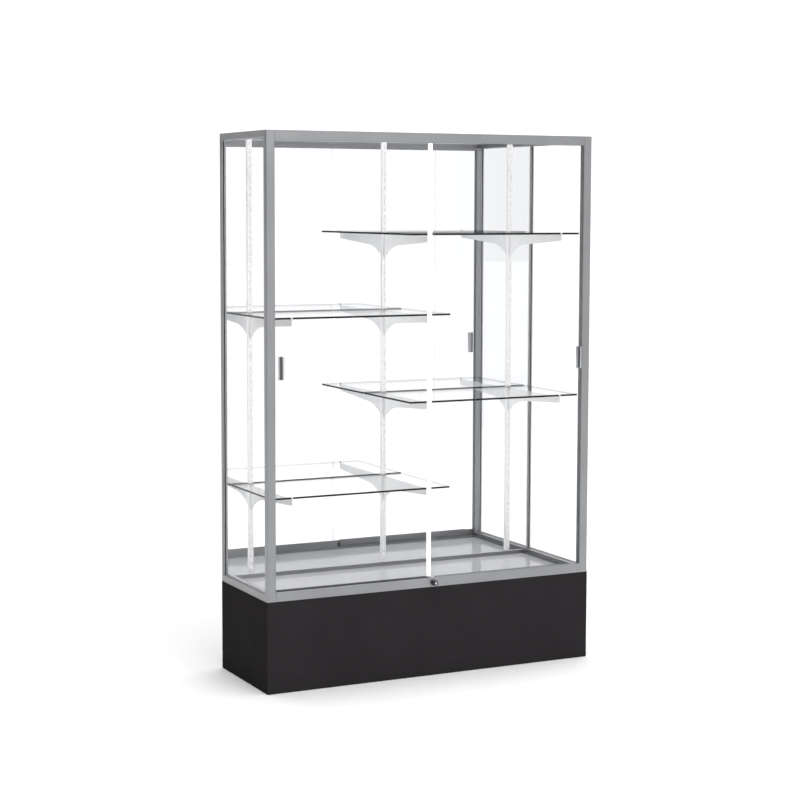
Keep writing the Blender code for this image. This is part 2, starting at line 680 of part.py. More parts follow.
class Door:
    """One sliding pane with its shoe, rollers and pull.

    side is -1 for the left door, in the rear channel, and +1 for the right door,
    in the front channel. The right door's shoe is short enough to clear the lock's
    pin when that door stands fully open; the left one runs the pane's whole length.
    """

    def __init__(self, side):
        self.side = side
        self.word = "left" if side < 0 else "right"
        self.pane_y = REAR_PANE_Y if side < 0 else FRONT_PANE_Y
        self.middle_y = self.pane_y + GLASS / 2
        self.outer_x = side * (INNER_X - DOOR_SIDE_GAP)
        self.inner_x = DOOR_SEAM_X - side * DOOR_OVERLAP / 2
        self.shoe_inner = side * SHOE_CENTRE_GAP
        short_end = side * (DOOR_TRAVEL - SHOE_END_MARGIN)
        full_end = self.outer_x - side * SHOE_TIP_MARGIN
        self.shoe_outer = full_end if side < 0 else short_end
        self.roller_x = (
            self.shoe_inner + side * ROLLER_END_DISTANCE,
            short_end - side * ROLLER_END_DISTANCE,
        )

    def span(self, first, second):
        """Two places in rising order."""
        return min(first, second), max(first, second)

    def build_pane(self, shop):
        """The glass pane."""
        low, high = self.span(self.outer_x, self.inner_x)
        pane = box_object(
            f"door_glass_{self.word}",
            (low, self.pane_y, PANE_BOTTOM_Z),
            (high, self.pane_y + GLASS, PANE_TOP_Z),
        )
        ease_edges(shop.file_part(pane, "clear_glass"), GLASS_EDGE)
        return pane

    def shoe_outline(self):
        """Section of the shoe: a cup for the glass over a cup for the rollers."""
        inner = GLASS / 2 + FIT_GAP
        left, right = self.middle_y - SHOE_HALF, self.middle_y + SHOE_HALF
        bottom = RIB_TOP_Z + SHOE_BOTTOM_GAP
        web_top = SHOE_WEB_Z + SHOE_WEB
        top = web_top + SHOE_GRIP
        return [
            (left, bottom),
            (self.middle_y - inner, bottom),
            (self.middle_y - inner, SHOE_WEB_Z),
            (self.middle_y + inner, SHOE_WEB_Z),
            (self.middle_y + inner, bottom),
            (right, bottom),
            (right, top),
            (self.middle_y + inner, top),
            (self.middle_y + inner, web_top),
            (self.middle_y - inner, web_top),
            (self.middle_y - inner, top),
            (left, top),
        ]

    def build_shoe(self, shop):
        """The shoe, bored for its axles."""
        low, high = self.span(self.shoe_inner, self.shoe_outer)
        shoe = extrusion_object(
            f"door_shoe_{self.word}", self.shoe_outline(), "X", low, high
        )
        shop.file_part(shoe, "satin_aluminium")
        for number, place in enumerate(self.roller_x, start=1):
            bore = shop.file_cutter(cylinder_object(
                f"cut_axle_{self.word}_{number}", (place, self.middle_y, AXLE_Z), "Y",
                AXLE_RADIUS + FIT_GAP, 3 * SHOE_HALF, segments=16,
            ))
            cut_with(shoe, bore)
        return shoe

    def build_rollers(self, shop):
        """Two rollers and their axles, each turning about its own origin."""
        pieces = []
        half = ROLLER_WIDTH / 2
        bore = AXLE_RADIUS + FIT_GAP
        profile = [
            (bore, half), (ROLLER_RADIUS, half), (ROLLER_RADIUS, -half), (bore, -half),
        ]
        for number, place in enumerate(self.roller_x, start=1):
            centre = Vector((place, self.middle_y, AXLE_Z))
            roller = turned_object(f"roller_{self.word}_{number}", profile, segments=24)
            roller.matrix_world = Matrix.Translation(centre) @ roller.matrix_world
            pieces.append(shop.file_part(roller, "roller_nylon"))
            axle = cylinder_object(
                f"axle_{self.word}_{number}", centre, "Y", AXLE_RADIUS,
                2 * (SHOE_HALF - FIT_GAP), segments=16,
            )
            pieces.append(shop.file_part(axle, "steel_pin"))
        return pieces

    def build_pull(self, shop):
        """The finger pull on the face of the pane: a recess beside a broad grip."""
        margin = LEFT_PULL_MARGIN if self.side < 0 else RIGHT_PULL_MARGIN
        edge = self.side * (INNER_X - margin)
        low, high = self.span(edge, edge - self.side * PULL_WIDTH)
        back = self.pane_y - FIT_GAP
        front = back - PULL_DEPTH
        floor = back - PULL_BASE
        outline = [
            (low, back),
            (low, front),
            (low + PULL_FLANGE, front),
            (low + PULL_FLANGE, floor),
            (high - PULL_GRIP, floor),
            (high - PULL_GRIP, front),
            (high, front),
            (high, back),
        ]
        pull = extrusion_object(
            f"door_pull_{self.word}", outline, "Z",
            PULL_CENTRE_Z - PULL_HEIGHT / 2, PULL_CENTRE_Z + PULL_HEIGHT / 2,
        )
        shop.file_part(pull, "satin_aluminium")
        ease_edges(pull, FRAME_EDGE)
        return pull

    def build(self, shop):
        """All the door's pieces, hung on one holder."""
        holder = empty(shop, f"door_{self.word}_slide", (self.outer_x, self.middle_y, AXLE_Z))
        pieces = [self.build_pane(shop), self.build_shoe(shop), self.build_pull(shop)]
        pieces += self.build_rollers(shop)
        if self.side < 0:
            pieces.append(build_keeper(shop, self))
        for piece in pieces:
            hang(piece, holder)


def build_keeper(shop, door):
    """The block on the rear door's shoe that the lock's pin stops."""
    low, high = door.span(door.shoe_inner, door.shoe_inner + door.side * KEEPER_WIDTH)
    shoe_face = door.middle_y - SHOE_HALF
    front_shoe_back = FRONT_PANE_Y + GLASS / 2 + SHOE_HALF
    keeper = box_object(
        "lock_keeper",
        (low, front_shoe_back + KEEPER_CLEARANCE, LOCK_Z - KEEPER_HEIGHT / 2),
        (high, shoe_face - FIT_GAP, LOCK_Z + KEEPER_HEIGHT / 2),
    )
    return shop.file_part(keeper, "steel_pin")


# ------------------------------------------------------------------- tracks

def build_tracks(shop):
    """The ribbed track that the rollers run on, and the finned one above."""
    front = FRAME_Y + RAIL_WALL + FIT_GAP
    back = RAIL_REAR_Y - RAIL_UPSTAND_WALL - FIT_GAP
    base_top = TRACK_Z + TRACK_BASE
    outline = [(front, TRACK_Z), (back, TRACK_Z), (back, base_top)]
    for pane_y in (REAR_PANE_Y, FRONT_PANE_Y):
        middle = pane_y + GLASS / 2
        outline += [
            (middle + TRACK_RIB_WIDTH / 2, base_top),
            (middle + TRACK_RIB_WIDTH / 2, RIB_TOP_Z),
            (middle - TRACK_RIB_WIDTH / 2, RIB_TOP_Z),
            (middle - TRACK_RIB_WIDTH / 2, base_top),
        ]
    outline.append((front, base_top))
    reach = INNER_X - 2 * FIT_GAP
    bottom = extrusion_object("track_bottom", outline, "X", -reach, reach)
    shop.file_part(bottom, "track_plastic")

    crown_z = CASE_HEIGHT - TOP_RAIL_CROWN - FIT_GAP
    roof = crown_z - TRACK_CROWN
    tip = TOP_RAIL_Z
    outline = [(front, tip)]
    for pane_y in (FRONT_PANE_Y, REAR_PANE_Y):
        near = pane_y - TRACK_CLEARANCE
        far = pane_y + GLASS + TRACK_CLEARANCE
        if pane_y == REAR_PANE_Y:
            outline += [(near - TRACK_FIN, roof), (near - TRACK_FIN, tip)]
        outline += [(near, tip), (near, roof), (far, roof), (far, tip)]
        outline += [(far + TRACK_FIN, tip)]
        if pane_y == FRONT_PANE_Y:
            outline += [(far + TRACK_FIN, roof)]
    outline += [(far + TRACK_FIN, crown_z), (front, crown_z)]
    top = extrusion_object("track_top", outline, "X", -reach, reach)
    shop.file_part(top, "satin_aluminium")


# --------------------------------------------------------------------- lock

def build_lock(shop):
    """Barrel on the sill's face, sliding plunger and turning key core."""
    seat = FRAME_Y - FIT_GAP
    mouth = seat - LOCK_BARREL_LENGTH
    neck_end = FRAME_Y + RAIL_WALL - FIT_GAP
    barrel = turned_object("lock_barrel", [
        (LOCK_BORE, neck_end),
        (LOCK_NECK_RADIUS, neck_end),
        (LOCK_NECK_RADIUS, seat),
        (LOCK_FLANGE_RADIUS, seat),
        (LOCK_FLANGE_RADIUS, seat - LOCK_FLANGE),
        (LOCK_BARREL_RADIUS, seat - LOCK_FLANGE),
        (LOCK_BARREL_RADIUS, mouth),
        (LOCK_BORE, mouth),
    ])
    head_back = mouth + LOCK_HEAD_ENGAGED
    face = head_back - LOCK_HEAD_LENGTH
    pin_tip = FRAME_Y + RAIL_WALL - LOCK_PIN_TIP_GAP
    socket = LOCK_CORE_RADIUS + FIT_GAP
    socket_floor = face + LOCK_CORE_DEPTH + FIT_GAP
    plunger = turned_object("lock_plunger", [
        (0.0, pin_tip),
        (LOCK_PIN_RADIUS * 0.6, pin_tip),
        (LOCK_PIN_RADIUS, pin_tip - LOCK_PIN_RADIUS * 0.4),
        (LOCK_PIN_RADIUS, head_back),
        (LOCK_HEAD_RADIUS, head_back),
        (LOCK_HEAD_RADIUS, face),
        (socket, face),
        (socket, socket_floor),
        (0.0, socket_floor),
    ])
    core = cylinder_object(
        "lock_core", (0, face + LOCK_CORE_DEPTH / 2, LOCK_Z), "Y",
        LOCK_CORE_RADIUS, LOCK_CORE_DEPTH,
    )
    width, depth, height = LOCK_KEYWAY
    keyway = shop.file_cutter(box_object(
        "cut_keyway",
        (-width / 2, face - depth, LOCK_Z - height / 2),
        (width / 2, face + depth, LOCK_Z + height / 2),
    ))
    cut_with(core, keyway)
    for piece in (barrel, plunger):
        piece.matrix_world = Matrix.Translation((0, 0, LOCK_Z)) @ piece.matrix_world
        shop.file_part(piece, "polished_chrome")
    shop.file_part(core, "steel_pin")
    holder = empty(shop, "lock_plunger_slide", (0, face, LOCK_Z))
    hang(plunger, holder)
    hang(core, holder)


# ---------------------------------------------- standards, brackets, shelves

def slot_z(index):
    """The bottom of a slot, counted from the lowest."""
    return FIRST_SLOT_Z + index * SLOT_PITCH


def build_standards(shop):
    """Three channels with a row of slots down the middle of the face."""
    back = STANDARD_Y + STANDARD_DEPTH
    half = STANDARD_WIDTH / 2
    floor = STANDARD_Y + STANDARD_WALL
    for word, place in STANDARD_X.items():
        outline = [
            (place - half, STANDARD_Y),
            (place + half, STANDARD_Y),
            (place + half, back),
            (place + half - STANDARD_WALL, back),
            (place + half - STANDARD_WALL, floor),
            (place - half + STANDARD_WALL, floor),
            (place - half + STANDARD_WALL, back),
            (place - half, back),
        ]
        standard = extrusion_object(
            f"standard_{word}", outline, "Z", STANDARD_BOTTOM_Z, STANDARD_TOP_Z
        )
        shop.file_part(standard, "white_enamel")
        cut_with(standard, shop.file_cutter(slot_row(f"cut_slots_{word}", place)))


def slot_row(name, place):
    """One cutter for every slot of a standard."""
    mesh = bpy.data.meshes.new(name)
    shape = bmesh.new()
    for index in range(SLOT_COUNT):
        added = bmesh.ops.create_cube(shape, size=1.0)["verts"]
        bmesh.ops.scale(shape, vec=(SLOT_WIDTH, 3 * STANDARD_WALL, SLOT_LENGTH), verts=added)
        middle = (place, STANDARD_Y + STANDARD_WALL / 2, slot_z(index) + SLOT_LENGTH / 2)
        bmesh.ops.translate(shape, vec=middle, verts=added)
    shape.to_mesh(mesh)
    shape.free()
    return bpy.data.objects.new(name, mesh)


def bracket_outline(slot):
    """Side view (y, z) of the bracket whose upper hook sits in the given slot."""
    top = slot_z(slot) + SLOT_LENGTH + SHELF_ABOVE_SLOT - FIT_GAP
    root_y = STANDARD_Y - FIT_GAP
    lip_inner = SHELF_FRONT_Y - FIT_GAP
    tip_y = lip_inner - BRACKET_LIP
    lip_top = top + FIT_GAP + SHELF + BRACKET_LIP_RISE
    fall = BRACKET_ROOT_DEPTH - BRACKET_KNEE_DEPTH
    radius = (BRACKET_KNEE_LENGTH ** 2 + fall ** 2) / (2 * fall)
    knee_y = root_y - BRACKET_KNEE_LENGTH
    sweep = math.degrees(math.asin(BRACKET_KNEE_LENGTH / radius))
    sweep_centre = (knee_y, top - BRACKET_KNEE_DEPTH - radius)
    tip_centre = (tip_y + BRACKET_TIP_RADIUS, top - BRACKET_TIP_DEPTH + BRACKET_TIP_RADIUS)
    outline = [(root_y, top), (lip_inner, top), (lip_inner, lip_top), (tip_y, lip_top)]
    outline += arc_points(tip_centre, BRACKET_TIP_RADIUS, 180, 270, 5)
    outline += arc_points(sweep_centre, radius, 90, 90 - sweep, 10)
    hook_y = STANDARD_Y + STANDARD_WALL + HOOK_CLEARANCE
    for index in (slot - BRACKET_SLOT_STEP, slot):
        seat = slot_z(index) + FIT_GAP
        outline += [
            (root_y, seat),
            (hook_y, seat),
            (hook_y, seat - HOOK_DROP),
            (hook_y + HOOK_TOOTH, seat - HOOK_DROP),
            (hook_y + HOOK_TOOTH, seat + HOOK_HEIGHT),
            (root_y, seat + HOOK_HEIGHT),
        ]
    return outline


def build_shelves(shop):
    """Four half-length shelves, each on two brackets."""
    for name, share in SHELF_SHARES.items():
        slot = int(share * SLOT_COUNT + 0.5)
        side = -1 if name.endswith("left") else 1
        outer = side * (HALF_WIDTH - SHELF_SIDE_MARGIN)
        inner = -side * SHELF_PAST_MIDDLE
        bottom = slot_z(slot) + SLOT_LENGTH + SHELF_ABOVE_SLOT
        shelf = box_object(
            f"shelf_{name}",
            (min(outer, inner), SHELF_FRONT_Y, bottom),
            (max(outer, inner), STANDARD_Y - FIT_GAP, bottom + SHELF),
        )
        ease_edges(shop.file_part(shelf, "clear_glass"), GLASS_EDGE)
        for word in ("centre", "left" if side < 0 else "right"):
            place = STANDARD_X[word]
            bracket = extrusion_object(
                f"bracket_{name}_{word}", bracket_outline(slot), "X",
                place - BRACKET / 2, place + BRACKET / 2,
            )
            shop.file_part(bracket, "white_enamel")


def clear_scene():
    """Removes what the scene holds at the start."""
    for obj in list(bpy.data.objects):
        bpy.data.objects.remove(obj)


def main():
    """Builds the whole case."""
    clear_scene()
    shop = Workshop()
    build_plinth(shop)
    build_frame(shop)
    build_panes(shop)
    for side in (-1, 1):
        Door(side).build(shop)
    build_tracks(shop)
    build_lock(shop)
    build_standards(shop)
    build_shelves(shop)


main()
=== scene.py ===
"""The looks of a glass display case: finishes, glazing beads, seals, screws,
lock fittings, studio and camera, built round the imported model.

Lengths are in metres unless a name says millimetres. +Z is up and the doors
face -Y.
"""

from __future__ import annotations

import logging
import math
from dataclasses import dataclass
from enum import Enum
from typing import Iterable, Sequence

import bmesh
import bpy
from mathutils import Matrix, Vector

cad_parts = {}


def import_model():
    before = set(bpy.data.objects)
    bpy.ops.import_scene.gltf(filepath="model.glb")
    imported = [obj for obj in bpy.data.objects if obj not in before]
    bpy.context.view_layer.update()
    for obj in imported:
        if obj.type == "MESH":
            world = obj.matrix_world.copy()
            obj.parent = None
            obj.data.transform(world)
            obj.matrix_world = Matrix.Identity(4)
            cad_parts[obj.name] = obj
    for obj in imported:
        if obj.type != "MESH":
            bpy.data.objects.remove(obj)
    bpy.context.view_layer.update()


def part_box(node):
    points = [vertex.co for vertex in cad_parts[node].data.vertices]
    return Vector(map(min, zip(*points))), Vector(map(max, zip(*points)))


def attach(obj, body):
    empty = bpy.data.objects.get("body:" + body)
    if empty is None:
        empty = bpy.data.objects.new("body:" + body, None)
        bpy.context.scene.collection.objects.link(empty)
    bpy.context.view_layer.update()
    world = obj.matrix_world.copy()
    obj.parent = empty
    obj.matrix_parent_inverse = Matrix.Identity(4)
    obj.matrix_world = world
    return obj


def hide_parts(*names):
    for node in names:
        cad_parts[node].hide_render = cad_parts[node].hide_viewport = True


MM = 0.001
LOG = logging.getLogger("display_case")
Flat = tuple[float, float]
Place = tuple[float, float, float]


class Axis(Enum):
    """One of the model's three axes, by its index."""

    X = 0
    Y = 1
    Z = 2


class Side(Enum):
    """The left or the right half of the case; the value is its sign along X."""

    LEFT = -1
    RIGHT = 1

    @property
    def word(self) -> str:
        """The side's name in the names of nodes."""
        return self.name.lower()


# ----------------------------------------------------------------- finishes

def linear(hex_colour: str) -> tuple[float, float, float, float]:
    """Turns an sRGB hex colour into linear light.

    Args:
        hex_colour: Six hex digits, such as "c8c9cb".

    Returns:
        Red, green, blue and an alpha of 1.
    """
    channels = [int(hex_colour[place:place + 2], 16) / 255 for place in (0, 2, 4)]
    light = [
        value / 12.92 if value <= 0.04045 else ((value + 0.055) / 1.055) ** 2.4
        for value in channels
    ]
    return (*light, 1.0)


def add_node(
    tree: bpy.types.NodeTree,
    kind: str,
    sockets: dict[str | int, object] | None = None,
    **settings: object,
) -> bpy.types.Node:
    """Adds a node, sets it up and wires it.

    Args:
        tree: The node tree that gets the node.
        kind: The node's type name.
        sockets: For each input, a socket to link from or a plain value.
        settings: Attributes of the node itself.

    Returns:
        The new node.
    """
    node = tree.nodes.new(kind)
    for key, value in settings.items():
        setattr(node, key, value)
    for key, value in (sockets or {}).items():
        if isinstance(value, bpy.types.NodeSocket):
            tree.links.new(value, node.inputs[key])
        else:
            node.inputs[key].default_value = value
    return node


@dataclass(frozen=True)
class Finish:
    """A surface finish. Its name is the material's name."""

    name: str

    def material(self) -> bpy.types.Material:
        """Returns the finish's material, making it the first time it is asked for."""
        known = bpy.data.materials.get(self.name)
        if known:
            return known
        material = bpy.data.materials.new(self.name)
        material.use_nodes = True
        material.node_tree.nodes.clear()
        tree = material.node_tree
        surface = self.surface(tree)
        add_node(tree, "ShaderNodeOutputMaterial", {"Surface": surface})
        return material

    def surface(self, tree: bpy.types.NodeTree) -> bpy.types.NodeSocket:
        """Builds the finish's nodes and returns the socket of its shader."""
        raise NotImplementedError

    def grain_coordinates(
        self, tree: bpy.types.NodeTree, scale: Sequence[float]
    ) -> bpy.types.NodeSocket:
        """Object coordinates stretched for a pattern.

        Args:
            tree: The material's tree.
            scale: Pattern cells per metre along X, Y and Z.

        Returns:
            The stretched coordinates.
        """
        place = add_node(tree, "ShaderNodeTexCoord")
        mapping = add_node(tree, "ShaderNodeMapping", {
            "Vector": place.outputs["Object"], "Scale": tuple(scale),
        })
        return mapping.outputs["Vector"]

    def noise(
        self, tree: bpy.types.NodeTree, scale: Sequence[float], **shape: float
    ) -> bpy.types.NodeSocket:
        """Noise in object coordinates.

        Args:
            tree: The material's tree.
            scale: Pattern cells per metre along X, Y and Z.
            shape: The noise's own inputs by name, such as Detail.

        Returns:
            The noise, mostly between 0.3 and 0.7.
        """
        pattern = add_node(tree, "ShaderNodeTexNoise", {
            "Vector": self.grain_coordinates(tree, scale), "Scale": 1.0, **shape,
        })
        return pattern.outputs["Fac"]

    def varied(
        self, tree: bpy.types.NodeTree, pattern: bpy.types.NodeSocket, low: float, high: float
    ) -> bpy.types.NodeSocket:
        """A pattern of 0.3 to 0.7 spread over a range of values."""
        spread = add_node(tree, "ShaderNodeMapRange", {
            "Value": pattern, "From Min": 0.3, "From Max": 0.7, "To Min": low, "To Max": high,
        })
        return spread.outputs["Result"]

    def tint(
        self, tree: bpy.types.NodeTree, pattern: bpy.types.NodeSocket, first: str, second: str
    ) -> bpy.types.NodeSocket:
        """A colour that drifts from one hex colour to another with a pattern."""
        mixed = add_node(tree, "ShaderNodeMix", {
            "Factor": self.varied(tree, pattern, 0.0, 1.0), 6: linear(first), 7: linear(second),
        }, data_type="RGBA")
        return mixed.outputs[2]


@dataclass(frozen=True)
class AnodisedAluminium(Finish):
    """Satin anodised extrusion: even grey metal with faint die lines along its length."""

    run: Axis = Axis.Z
    dark: str = "8e8f91"
    light: str = "959698"
    line_mm: float = 0.9
    line_length_mm: float = 400.0

    def surface(self, tree: bpy.types.NodeTree) -> bpy.types.NodeSocket:
        """Die lines are noise stretched along the extrusion; they show in gloss and relief."""
        cells = [1 / (self.line_mm * MM)] * 3
        cells[self.run.value] = 1 / (self.line_length_mm * MM)
        lines = self.noise(tree, cells, Detail=2.0)
        clouds = self.noise(tree, (6.0, 6.0, 6.0))
        tint = self.tint(tree, clouds, self.dark, self.light)
        relief = add_node(tree, "ShaderNodeBump", {
            "Height": lines, "Strength": 0.05, "Distance": 0.02 * MM,
        })
        shader = add_node(tree, "ShaderNodeBsdfPrincipled", {
            "Base Color": tint,
            "Metallic": 1.0,
            "Roughness": self.varied(tree, lines, 0.33, 0.43),
            "Normal": relief.outputs["Normal"],
        })
        return shader.outputs["BSDF"]


@dataclass(frozen=True)
class PressedLaminate(Finish):
    """Melamine laminate pressed against a textured plate: a fine pebble over flat colour."""

    colour: str = "2c2a2c"
    fleck: str = "2f2d2f"
    roughness: float = 0.5
    gloss: float = 0.0
    pebble_mm: float = 1.1
    pebble_depth_mm: float = 0.03

    def surface(self, tree: bpy.types.NodeTree) -> bpy.types.NodeSocket:
        """The pebble is a fine noise in relief, with a broad cloud in its tone."""
        fine = 1 / (self.pebble_mm * MM)
        pebble = self.noise(tree, (fine, fine, fine), Detail=3.0)
        cloud = self.noise(tree, (9.0, 9.0, 9.0), Detail=4.0)
        tint = self.tint(tree, cloud, self.colour, self.fleck)
        relief = add_node(tree, "ShaderNodeBump", {
            "Height": pebble, "Strength": 0.5,
            "Distance": self.pebble_depth_mm * MM,
        })
        shader = add_node(tree, "ShaderNodeBsdfPrincipled", {
            "Base Color": tint,
            "Roughness": self.varied(
                tree, pebble, self.roughness - 0.05, self.roughness + 0.05
            ),
            "Specular IOR Level": self.gloss,
            "Normal": relief.outputs["Normal"],
        })
        return shader.outputs["BSDF"]


@dataclass(frozen=True)
class FloatGlass(Finish):
    """Clear float glass with polished edges.

    A pane is thin beside its width, so it passes light unbent and mirrors a
    little head-on and more at a slant, in Schlick's form. Light that has run far
    along the pane leaves by its edges, which look deep green, near black.
    """

    thin: Axis = Axis.Y
    body: str = "fefefe"
    edge: str = "060908"
    edge_cover: float = 1.0
    far_edge_cover: float = 0.35
    edge_gloss: float = 0.05
    head_on: float = 0.012
    slanting: float = 0.35

    def surface(self, tree: bpy.types.NodeTree) -> bpy.types.NodeSocket:
        """Faces mix clear with mirror; edges, told by their normal, are deep green."""
        smudge = self.noise(tree, (14.0, 14.0, 14.0), Detail=5.0)
        clear = add_node(tree, "ShaderNodeBsdfTransparent", {"Color": linear(self.body)})
        mirror = add_node(tree, "ShaderNodeBsdfGlossy", {
            "Color": linear("ffffff"),
            "Roughness": self.varied(tree, smudge, 0.0, 0.03),
        })
        slant = add_node(tree, "ShaderNodeLayerWeight", {"Blend": 0.5})
        steep = add_node(tree, "ShaderNodeMath", {
            0: slant.outputs["Facing"], 1: 5.0,
        }, operation="POWER")
        share = add_node(tree, "ShaderNodeMath", {
            0: steep.outputs["Value"], 1: self.slanting, 2: self.head_on,
        }, operation="MULTIPLY_ADD")
        pane = add_node(tree, "ShaderNodeMixShader", {
            0: share.outputs["Value"], 1: clear.outputs["BSDF"], 2: mirror.outputs["BSDF"],
        })
        facing = add_node(tree, "ShaderNodeNewGeometry")
        cover = add_node(tree, "ShaderNodeMapRange", {
            "Value": facing.outputs["Backfacing"],
            "To Min": self.edge_cover, "To Max": self.far_edge_cover,
        })
        polished = add_node(tree, "ShaderNodeBsdfPrincipled", {
            "Base Color": linear(self.edge), "Roughness": 0.12,
            "Specular IOR Level": self.edge_gloss, "Alpha": cover.outputs["Result"],
        })
        parts = add_node(tree, "ShaderNodeSeparateXYZ", {"Vector": facing.outputs["True Normal"]})
        across = add_node(tree, "ShaderNodeMath", {
            0: parts.outputs[self.thin.value],
        }, operation="ABSOLUTE")
        on_edge = add_node(tree, "ShaderNodeMath", {
            0: across.outputs["Value"], 1: 0.9,
        }, operation="LESS_THAN")
        both = add_node(tree, "ShaderNodeMixShader", {
            0: on_edge.outputs["Value"], 1: pane.outputs["Shader"], 2: polished.outputs["BSDF"],
        })
        return both.outputs["Shader"]


@dataclass(frozen=True)
class SilveredMirror(Finish):
    """Float glass silvered on the back: bright and faintly grey, with a grey paint behind."""

    silver: str = "f4f5f7"
    paint: str = "6e7174"

    def surface(self, tree: bpy.types.NodeTree) -> bpy.types.NodeSocket:
        """The front mirrors; the back and the edges show the protective paint."""
        haze = self.noise(tree, (20.0, 20.0, 20.0), Detail=4.0)
        silver = add_node(tree, "ShaderNodeBsdfPrincipled", {
            "Base Color": linear(self.silver), "Metallic": 1.0,
            "Roughness": self.varied(tree, haze, 0.0, 0.02),
        })
        paint = add_node(tree, "ShaderNodeBsdfPrincipled", {
            "Base Color": linear(self.paint), "Roughness": 0.6,
        })
        facing = add_node(tree, "ShaderNodeNewGeometry")
        parts = add_node(tree, "ShaderNodeSeparateXYZ", {"Vector": facing.outputs["True Normal"]})
        front = add_node(tree, "ShaderNodeMath", {
            0: parts.outputs["Y"], 1: -0.5,
        }, operation="LESS_THAN")
        both = add_node(tree, "ShaderNodeMixShader", {
            0: front.outputs["Value"], 1: paint.outputs["BSDF"], 2: silver.outputs["BSDF"],
        })
        return both.outputs["Shader"]


@dataclass(frozen=True)
class Hardboard(Finish):
    """Wet-process hardboard: pressed fibres, darker flecks, matt."""

    ground: str = "6a655e"
    fibre: str = "7f7970"
    fibre_mm: float = 2.5

    def surface(self, tree: bpy.types.NodeTree) -> bpy.types.NodeSocket:
        """Fibres are a distorted noise a few millimetres long."""
        cell = 1 / (self.fibre_mm * MM)
        fibres = self.noise(tree, (cell, cell, cell * 0.6), Detail=5.0, Distortion=1.2)
        tint = self.tint(tree, fibres, self.ground, self.fibre)
        relief = add_node(tree, "ShaderNodeBump", {
            "Height": fibres, "Strength": 0.6, "Distance": 0.1 * MM,
        })
        shader = add_node(tree, "ShaderNodeBsdfPrincipled", {
            "Base Color": tint, "Roughness": 0.85, "Normal": relief.outputs["Normal"],
        })
        return shader.outputs["BSDF"]


@dataclass(frozen=True)
class MouldedOrPainted(Finish):
    """A plain body colour under a skin: enamel, nylon, vinyl or rubber.

    skin_mm is the size of the skin's ripple, such as enamel's orange peel.
    through is a painted glow: emission in the body colour that stands in for the light coming
    through a milky body from its far side.
    """

    colour: str = "fafafa"
    shade: str = "f6f6f5"
    roughness: float = 0.3
    coat: float = 0.0
    skin_mm: float = 2.0
    skin_depth_mm: float = 0.02
    through: float = 0.0

    def surface(self, tree: bpy.types.NodeTree) -> bpy.types.NodeSocket:
        """The ripple shows in relief and in gloss, with a broad drift in tone."""
        cell = 1 / (self.skin_mm * MM)
        skin = self.noise(tree, (cell, cell, cell), Detail=2.0)
        drift = self.noise(tree, (12.0, 12.0, 12.0))
        tint = self.tint(tree, drift, self.colour, self.shade)
        relief = add_node(tree, "ShaderNodeBump", {
            "Height": skin, "Strength": 0.4,
            "Distance": self.skin_depth_mm * MM,
        })
        shader = add_node(tree, "ShaderNodeBsdfPrincipled", {
            "Base Color": tint,
            "Roughness": self.varied(
                tree, skin, self.roughness * 0.85, self.roughness * 1.15
            ),
            "Coat Weight": self.coat,
            "Coat Roughness": 0.08,
            # The emission is the painted glow set by through.
            "Emission Color": linear(self.colour),
            "Emission Strength": self.through,
            "Normal": relief.outputs["Normal"],
        })
        return shader.outputs["BSDF"]


@dataclass(frozen=True)
class BrightMetal(Finish):
    """Plated or polished metal with fine turning marks."""

    colour: str = "d6d7da"
    roughness: float = 0.08
    mark_mm: float = 0.4

    def surface(self, tree: bpy.types.NodeTree) -> bpy.types.NodeSocket:
        """Turning marks are a fine noise in the gloss."""
        cell = 1 / (self.mark_mm * MM)
        marks = self.noise(tree, (cell, cell, cell), Detail=2.0)
        shader = add_node(tree, "ShaderNodeBsdfPrincipled", {
            "Base Color": linear(self.colour), "Metallic": 1.0,
            "Roughness": self.varied(
                tree, marks, self.roughness * 0.7, self.roughness * 1.4
            ),
        })
        return shader.outputs["BSDF"]


ALUMINIUM = {axis: AnodisedAluminium(f"anodised_aluminium_{axis.name.lower()}", run=axis)
             for axis in Axis}
GLASS = {axis: FloatGlass(f"float_glass_{axis.name.lower()}", thin=axis, body="fdfdfd")
         for axis in Axis}
DOOR_GLASS = FloatGlass(
    "door_glass", thin=Axis.Y, edge="c4cac7", edge_cover=0.3, far_edge_cover=0.15, edge_gloss=0.5
)
BLACK_LAMINATE = PressedLaminate("black_melamine")
DECK_LAMINATE = PressedLaminate(
    "grey_gloss_laminate", colour="a3a4a6", fleck="a6a7a9", roughness=0.09, gloss=0.12,
    pebble_mm=40.0, pebble_depth_mm=0.002,
)
MIRROR = SilveredMirror("silvered_mirror")
HARDBOARD = Hardboard("hardboard")
WHITE_ENAMEL = MouldedOrPainted("white_enamel", coat=0.4)
# The brackets' enamel is the standards' white painted greyer: painted shade for the brackets.
SHADED_BRACKET_ENAMEL = MouldedOrPainted(
    "bracket_enamel_painted_shade", colour="dedfe0", shade="dadbdc", roughness=0.35, coat=0.3
)
# The pull's aluminium is painted lighter than the frame's: painted light for its lit front grip.
LIT_PULL_METAL = AnodisedAluminium("anodised_pull_painted_light", run=Axis.Z, dark="b4b5b7", light="bcbdbf")
SHELF_GLASS = FloatGlass("shelf_glass", thin=Axis.Z)
GREY_VINYL = MouldedOrPainted(
    "grey_vinyl", colour="b9babc", shade="b3b4b6", roughness=0.45, skin_mm=1.0
)
# Dark vinyl used as painted shade: on the posts where the doors close and in the pulls' recesses.
PAINTED_SHADE_VINYL = MouldedOrPainted(
    "painted_shade_vinyl", colour="606164", shade="5a5b5e", roughness=0.55, skin_mm=1.0
)
WHITE_VINYL = MouldedOrPainted("white_vinyl", colour="f4f4f4", shade="eeeeee", roughness=0.4)
